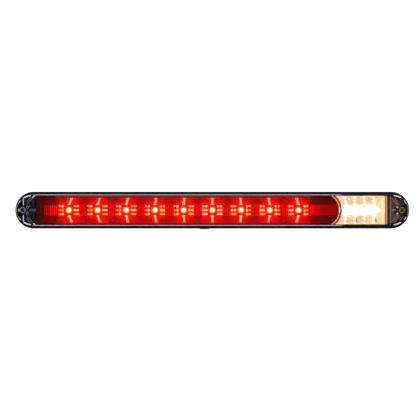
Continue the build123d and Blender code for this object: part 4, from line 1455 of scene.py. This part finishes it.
@dataclass
class LensEdgeHighlights(Section):
    """Painted highlights of the clear cover: the line along its rounded rim, and the marks on the ribs,
    boss, pips and floors of the cells round each screw boss.
    """

    edge_radius: float = 1.1
    edge_skin: float = 0.05
    edge_turn: float = math.radians(62.0)
    lit_from: float = -194.0
    cell_level: float = 22.2
    floor_radius: float = 15.4
    floor_centre: float = 10.5
    floor_end: float = 13.0
    floor_levels: tuple[float, float] = (6.0, 6.4)

    def rim_line(self) -> None:
        """Make the painted highlight over the cover's rounded front edge, as a thin skin on the rounding.

        Its section is the arc of the rounding from the side face to just short of the front face. The
        painted highlight is brightest along the straight runs, from lit_from to the divider, and round both
        tips.
        """
        layout = self.layout
        half_length = (layout.lens_high[0] - layout.lens_low[0]) / 2
        half_height = (layout.lens_high[2] - layout.lens_low[2]) / 2
        centres, angles = stadium(half_length - half_height, gap=6.0, steps=28)
        turn = np.linspace(0.0, self.edge_turn, 7)
        outer, inner = self.edge_radius + self.edge_skin, self.edge_radius + 0.01
        front = -layout.lens_low[1] - self.edge_radius
        offsets = np.concatenate([outer * np.cos(turn), inner * np.cos(turn[::-1])]) - self.edge_radius
        heights = front + np.concatenate([outer * np.sin(turn), inner * np.sin(turn[::-1])])
        radii = half_height + offsets[None, :]
        across = centres[:, None] + radii * np.cos(angles)[:, None]
        up = radii * np.sin(angles)[:, None]
        rings = np.stack([across, np.broadcast_to(-heights, across.shape), up], -1)
        straight = np.abs(np.abs(np.sin(angles)) - 1.0) < 1e-6
        bright, dull, tip, tip_sine = 1.1, 0.03, 1.0, 0.33
        lit = straight & (centres > self.lit_from) & (centres < layout.divider_apex)
        shine = np.where(np.abs(np.sin(angles)) < tip_sine, tip, np.where(lit, bright, dull))
        shine = np.repeat(shine, rings.shape[1])
        body = carried(rings, closed=True)
        self.wear("cover_edge_highlight", [body], Finish.LENS_EDGE_HIGHLIGHT, "clear_cover", shine=shine)

    def bar(self, hole: float, side: int, up: float, row: tuple[float, ...]) -> Body:
        """Lay one bar under the cover's front plate.

        Args:
            hole: x of the screw hole.
            side: -1 for the left end and 1 for the right.
            up: 1 as the row says, or -1 mirrored in z.
            row: the bar, as Marks has it.

        Returns:
            Points and faces.
        """
        out, z, out_end, z_end, half, bow = row
        start, end = (hole + side * out, up * z), (hole + side * out_end, up * z_end)
        return stroke(start, end, half, self.cell_level, up * bow * side)

    def ring(self, hole: float, side: int, row: tuple[float, ...]) -> Body:
        """Lay one ring under the cover's front plate, as Marks has it."""
        out, z, inner, outer = row
        section = np.array([[inner, -0.15], [inner, 0.1], [outer, 0.1], [outer, -0.15]])
        return lathe((hole + side * out, z), section + np.array([0.0, self.cell_level]))

    def floor(self, hole: float, side: int) -> Body:
        """Return the floor plate of an end cell: half a disc with a short straight run."""
        turn = np.linspace(-np.pi / 2, np.pi / 2, 25)
        radius, end = self.floor_radius, hole - side * self.floor_end
        x = np.append(hole - side * self.floor_centre + side * radius * np.cos(turn), [end, end])
        z = np.append(radius * np.sin(turn), [radius, -radius])
        plates = [np.stack([x, np.full_like(x, -level), z], -1) for level in self.floor_levels]
        return carried(np.array(plates))

    def end_marks(self, side: int, place: str) -> None:
        """Make one end's marks: painted highlights, sheen and reflections on its cells' ribs, boss and pips,
        and the painted glow of its floor.

        Args:
            side: -1 for the left end and 1 for the right.
            place: the end's name.
        """
        hole = float(self.layout.holes[0 if side < 0 else 1])
        for finish, marks in CELLS[place].items():
            bodies = [self.bar(hole, side, up, row) for row in marks.pairs for up in BOTH]
            bodies += [self.bar(hole, side, 1.0, row) for row in marks.bars]
            bodies += [self.ring(hole, side, row) for row in marks.rings]
            if finish in FLOORS:
                bodies.append(self.floor(hole, side))
            self.wear(f"{place}_{finish.value}", bodies, finish, "clear_cover")

    def build(self) -> None:
        """Build the rim's painted highlight and both ends' marks."""
        self.rim_line()
        self.end_marks(-1, "left")
        self.end_marks(1, "right")


# ------------------------------------------------------------------ studio


@dataclass
class Studio:
    """Pale floor, soft boxes and the camera, set round the lamp."""

    low: np.ndarray
    high: np.ndarray
    frame_width: float = 0.4669
    distance: float = 0.65
    rim_setback: float = 0.0032
    offset_x: float = -0.0026
    offset_z: float = 0.00012
    sensor: float = 36.0
    floor_drop: float = 0.24
    room_light: float = 1.3
    mirror_light: float = 0.04
    chamber_light: float = 0.012

    def camera(self) -> None:
        """Set the camera level in front of the lamp, wide enough for its whole length."""
        data = bpy.data.cameras.new("camera")
        data.sensor_width = self.sensor
        data.lens = self.sensor * self.distance / self.frame_width
        data.clip_start = 0.01
        data.clip_end = 30.0
        made = bpy.data.objects.new("camera", data)
        made.location = (self.offset_x, self.low[1] + self.rim_setback - self.distance, self.offset_z)
        made.rotation_euler = (math.pi / 2, 0.0, 0.0)
        bpy.context.scene.collection.objects.link(made)
        bpy.context.scene.camera = made

    def floor(self) -> None:
        """Lay a wide pale floor below the lamp."""
        size = 12.0
        data = bpy.data.meshes.new("floor")
        corners = [(-size, -size), (size, -size), (size, size), (-size, size)]
        data.from_pydata([(x, y, self.low[2] - self.floor_drop) for x, y in corners], [], [(0, 1, 2, 3)])
        made = bpy.data.objects.new("floor", data)
        sheet = Sheet("floor_paint")
        sheet.set(Base_Color=(0.95, 0.95, 0.95), Roughness=0.9)
        data.materials.append(sheet.material)
        made.visible_glossy = False
        made.visible_transmission = False
        bpy.context.scene.collection.objects.link(made)
        made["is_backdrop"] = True

    def world(self) -> None:
        """A white room: full light on matt surfaces, little of it in gloss and inside the lamp."""
        made = bpy.data.worlds.new("studio")
        bpy.context.scene.world = made
        made.cycles.sampling_method = "NONE"
        made.use_nodes = True
        tree = made.node_tree
        tree.nodes.clear()
        output = tree.nodes.new("ShaderNodeOutputWorld")
        path = tree.nodes.new("ShaderNodeLightPath")
        rooms = []
        for tint, strength in (
            ((1.0, 1.0, 1.0, 1.0), self.room_light),
            ((0.97, 0.98, 1.0, 1.0), self.mirror_light),
            ((0.97, 0.98, 1.0, 1.0), self.chamber_light),
        ):
            room = tree.nodes.new("ShaderNodeBackground")
            room.inputs["Color"].default_value = tint
            room.inputs["Strength"].default_value = strength
            rooms.append(room)
        seen = rooms[0]
        for ray, room in zip(("Is Glossy Ray", "Is Transmission Ray"), rooms[1:]):
            mix = tree.nodes.new("ShaderNodeMixShader")
            tree.links.new(path.outputs[ray], mix.inputs["Fac"])
            tree.links.new(seen.outputs[0], mix.inputs[1])
            tree.links.new(room.outputs[0], mix.inputs[2])
            seen = mix
        tree.links.new(seen.outputs[0], output.inputs["Surface"])

    def soft_box(self, name: str, place: tuple[float, float, float], size: float, power: float) -> None:
        """Hang a square light that faces the lamp.

        Args:
            name: the light's name.
            place: where it hangs.
            size: its side.
            power: its power in watts.
        """
        data = bpy.data.lights.new(name, "AREA")
        data.size = size
        data.energy = power
        made = bpy.data.objects.new(name, data)
        made.location = place
        direction = Vector(place)
        made.rotation_mode = "QUATERNION"
        made.rotation_quaternion = direction.to_track_quat("Z", "Y")
        bpy.context.scene.collection.objects.link(made)

    def build(self) -> None:
        """Set up the whole studio."""
        bpy.context.scene.view_settings.view_transform = "Standard"
        self.camera()
        self.floor()
        self.world()
        self.soft_box("top_box", (0.0, -0.5, 1.2), size=1.2, power=5.0)
        self.soft_box("left_box", (-1.1, -0.9, 0.5), size=0.8, power=3.0)
        self.soft_box("right_box", (1.1, -0.9, 0.3), size=0.8, power=2.5)
        self.soft_box("back_box", (0.3, 1.4, 0.7), size=1.0, power=10.0)


def main() -> None:
    """Build the lamp's looks in order."""
    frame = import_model()
    cad_box = [list(corner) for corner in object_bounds()]
    low, high = (np.array(corner) for corner in cad_box)
    Studio(low, high).build()
    wardrobe = Wardrobe()
    wardrobe.dress_frame(frame)
    layout = Layout.read()
    RedSection(layout, wardrobe).build()
    WhiteSection(layout, wardrobe).build()
    SectionWallGlow(layout, wardrobe).build()
    LensEdgeHighlights(layout, wardrobe).build()


if __name__ == "__main__":
    logging.basicConfig(level=logging.INFO, format="%(message)s")
    main()
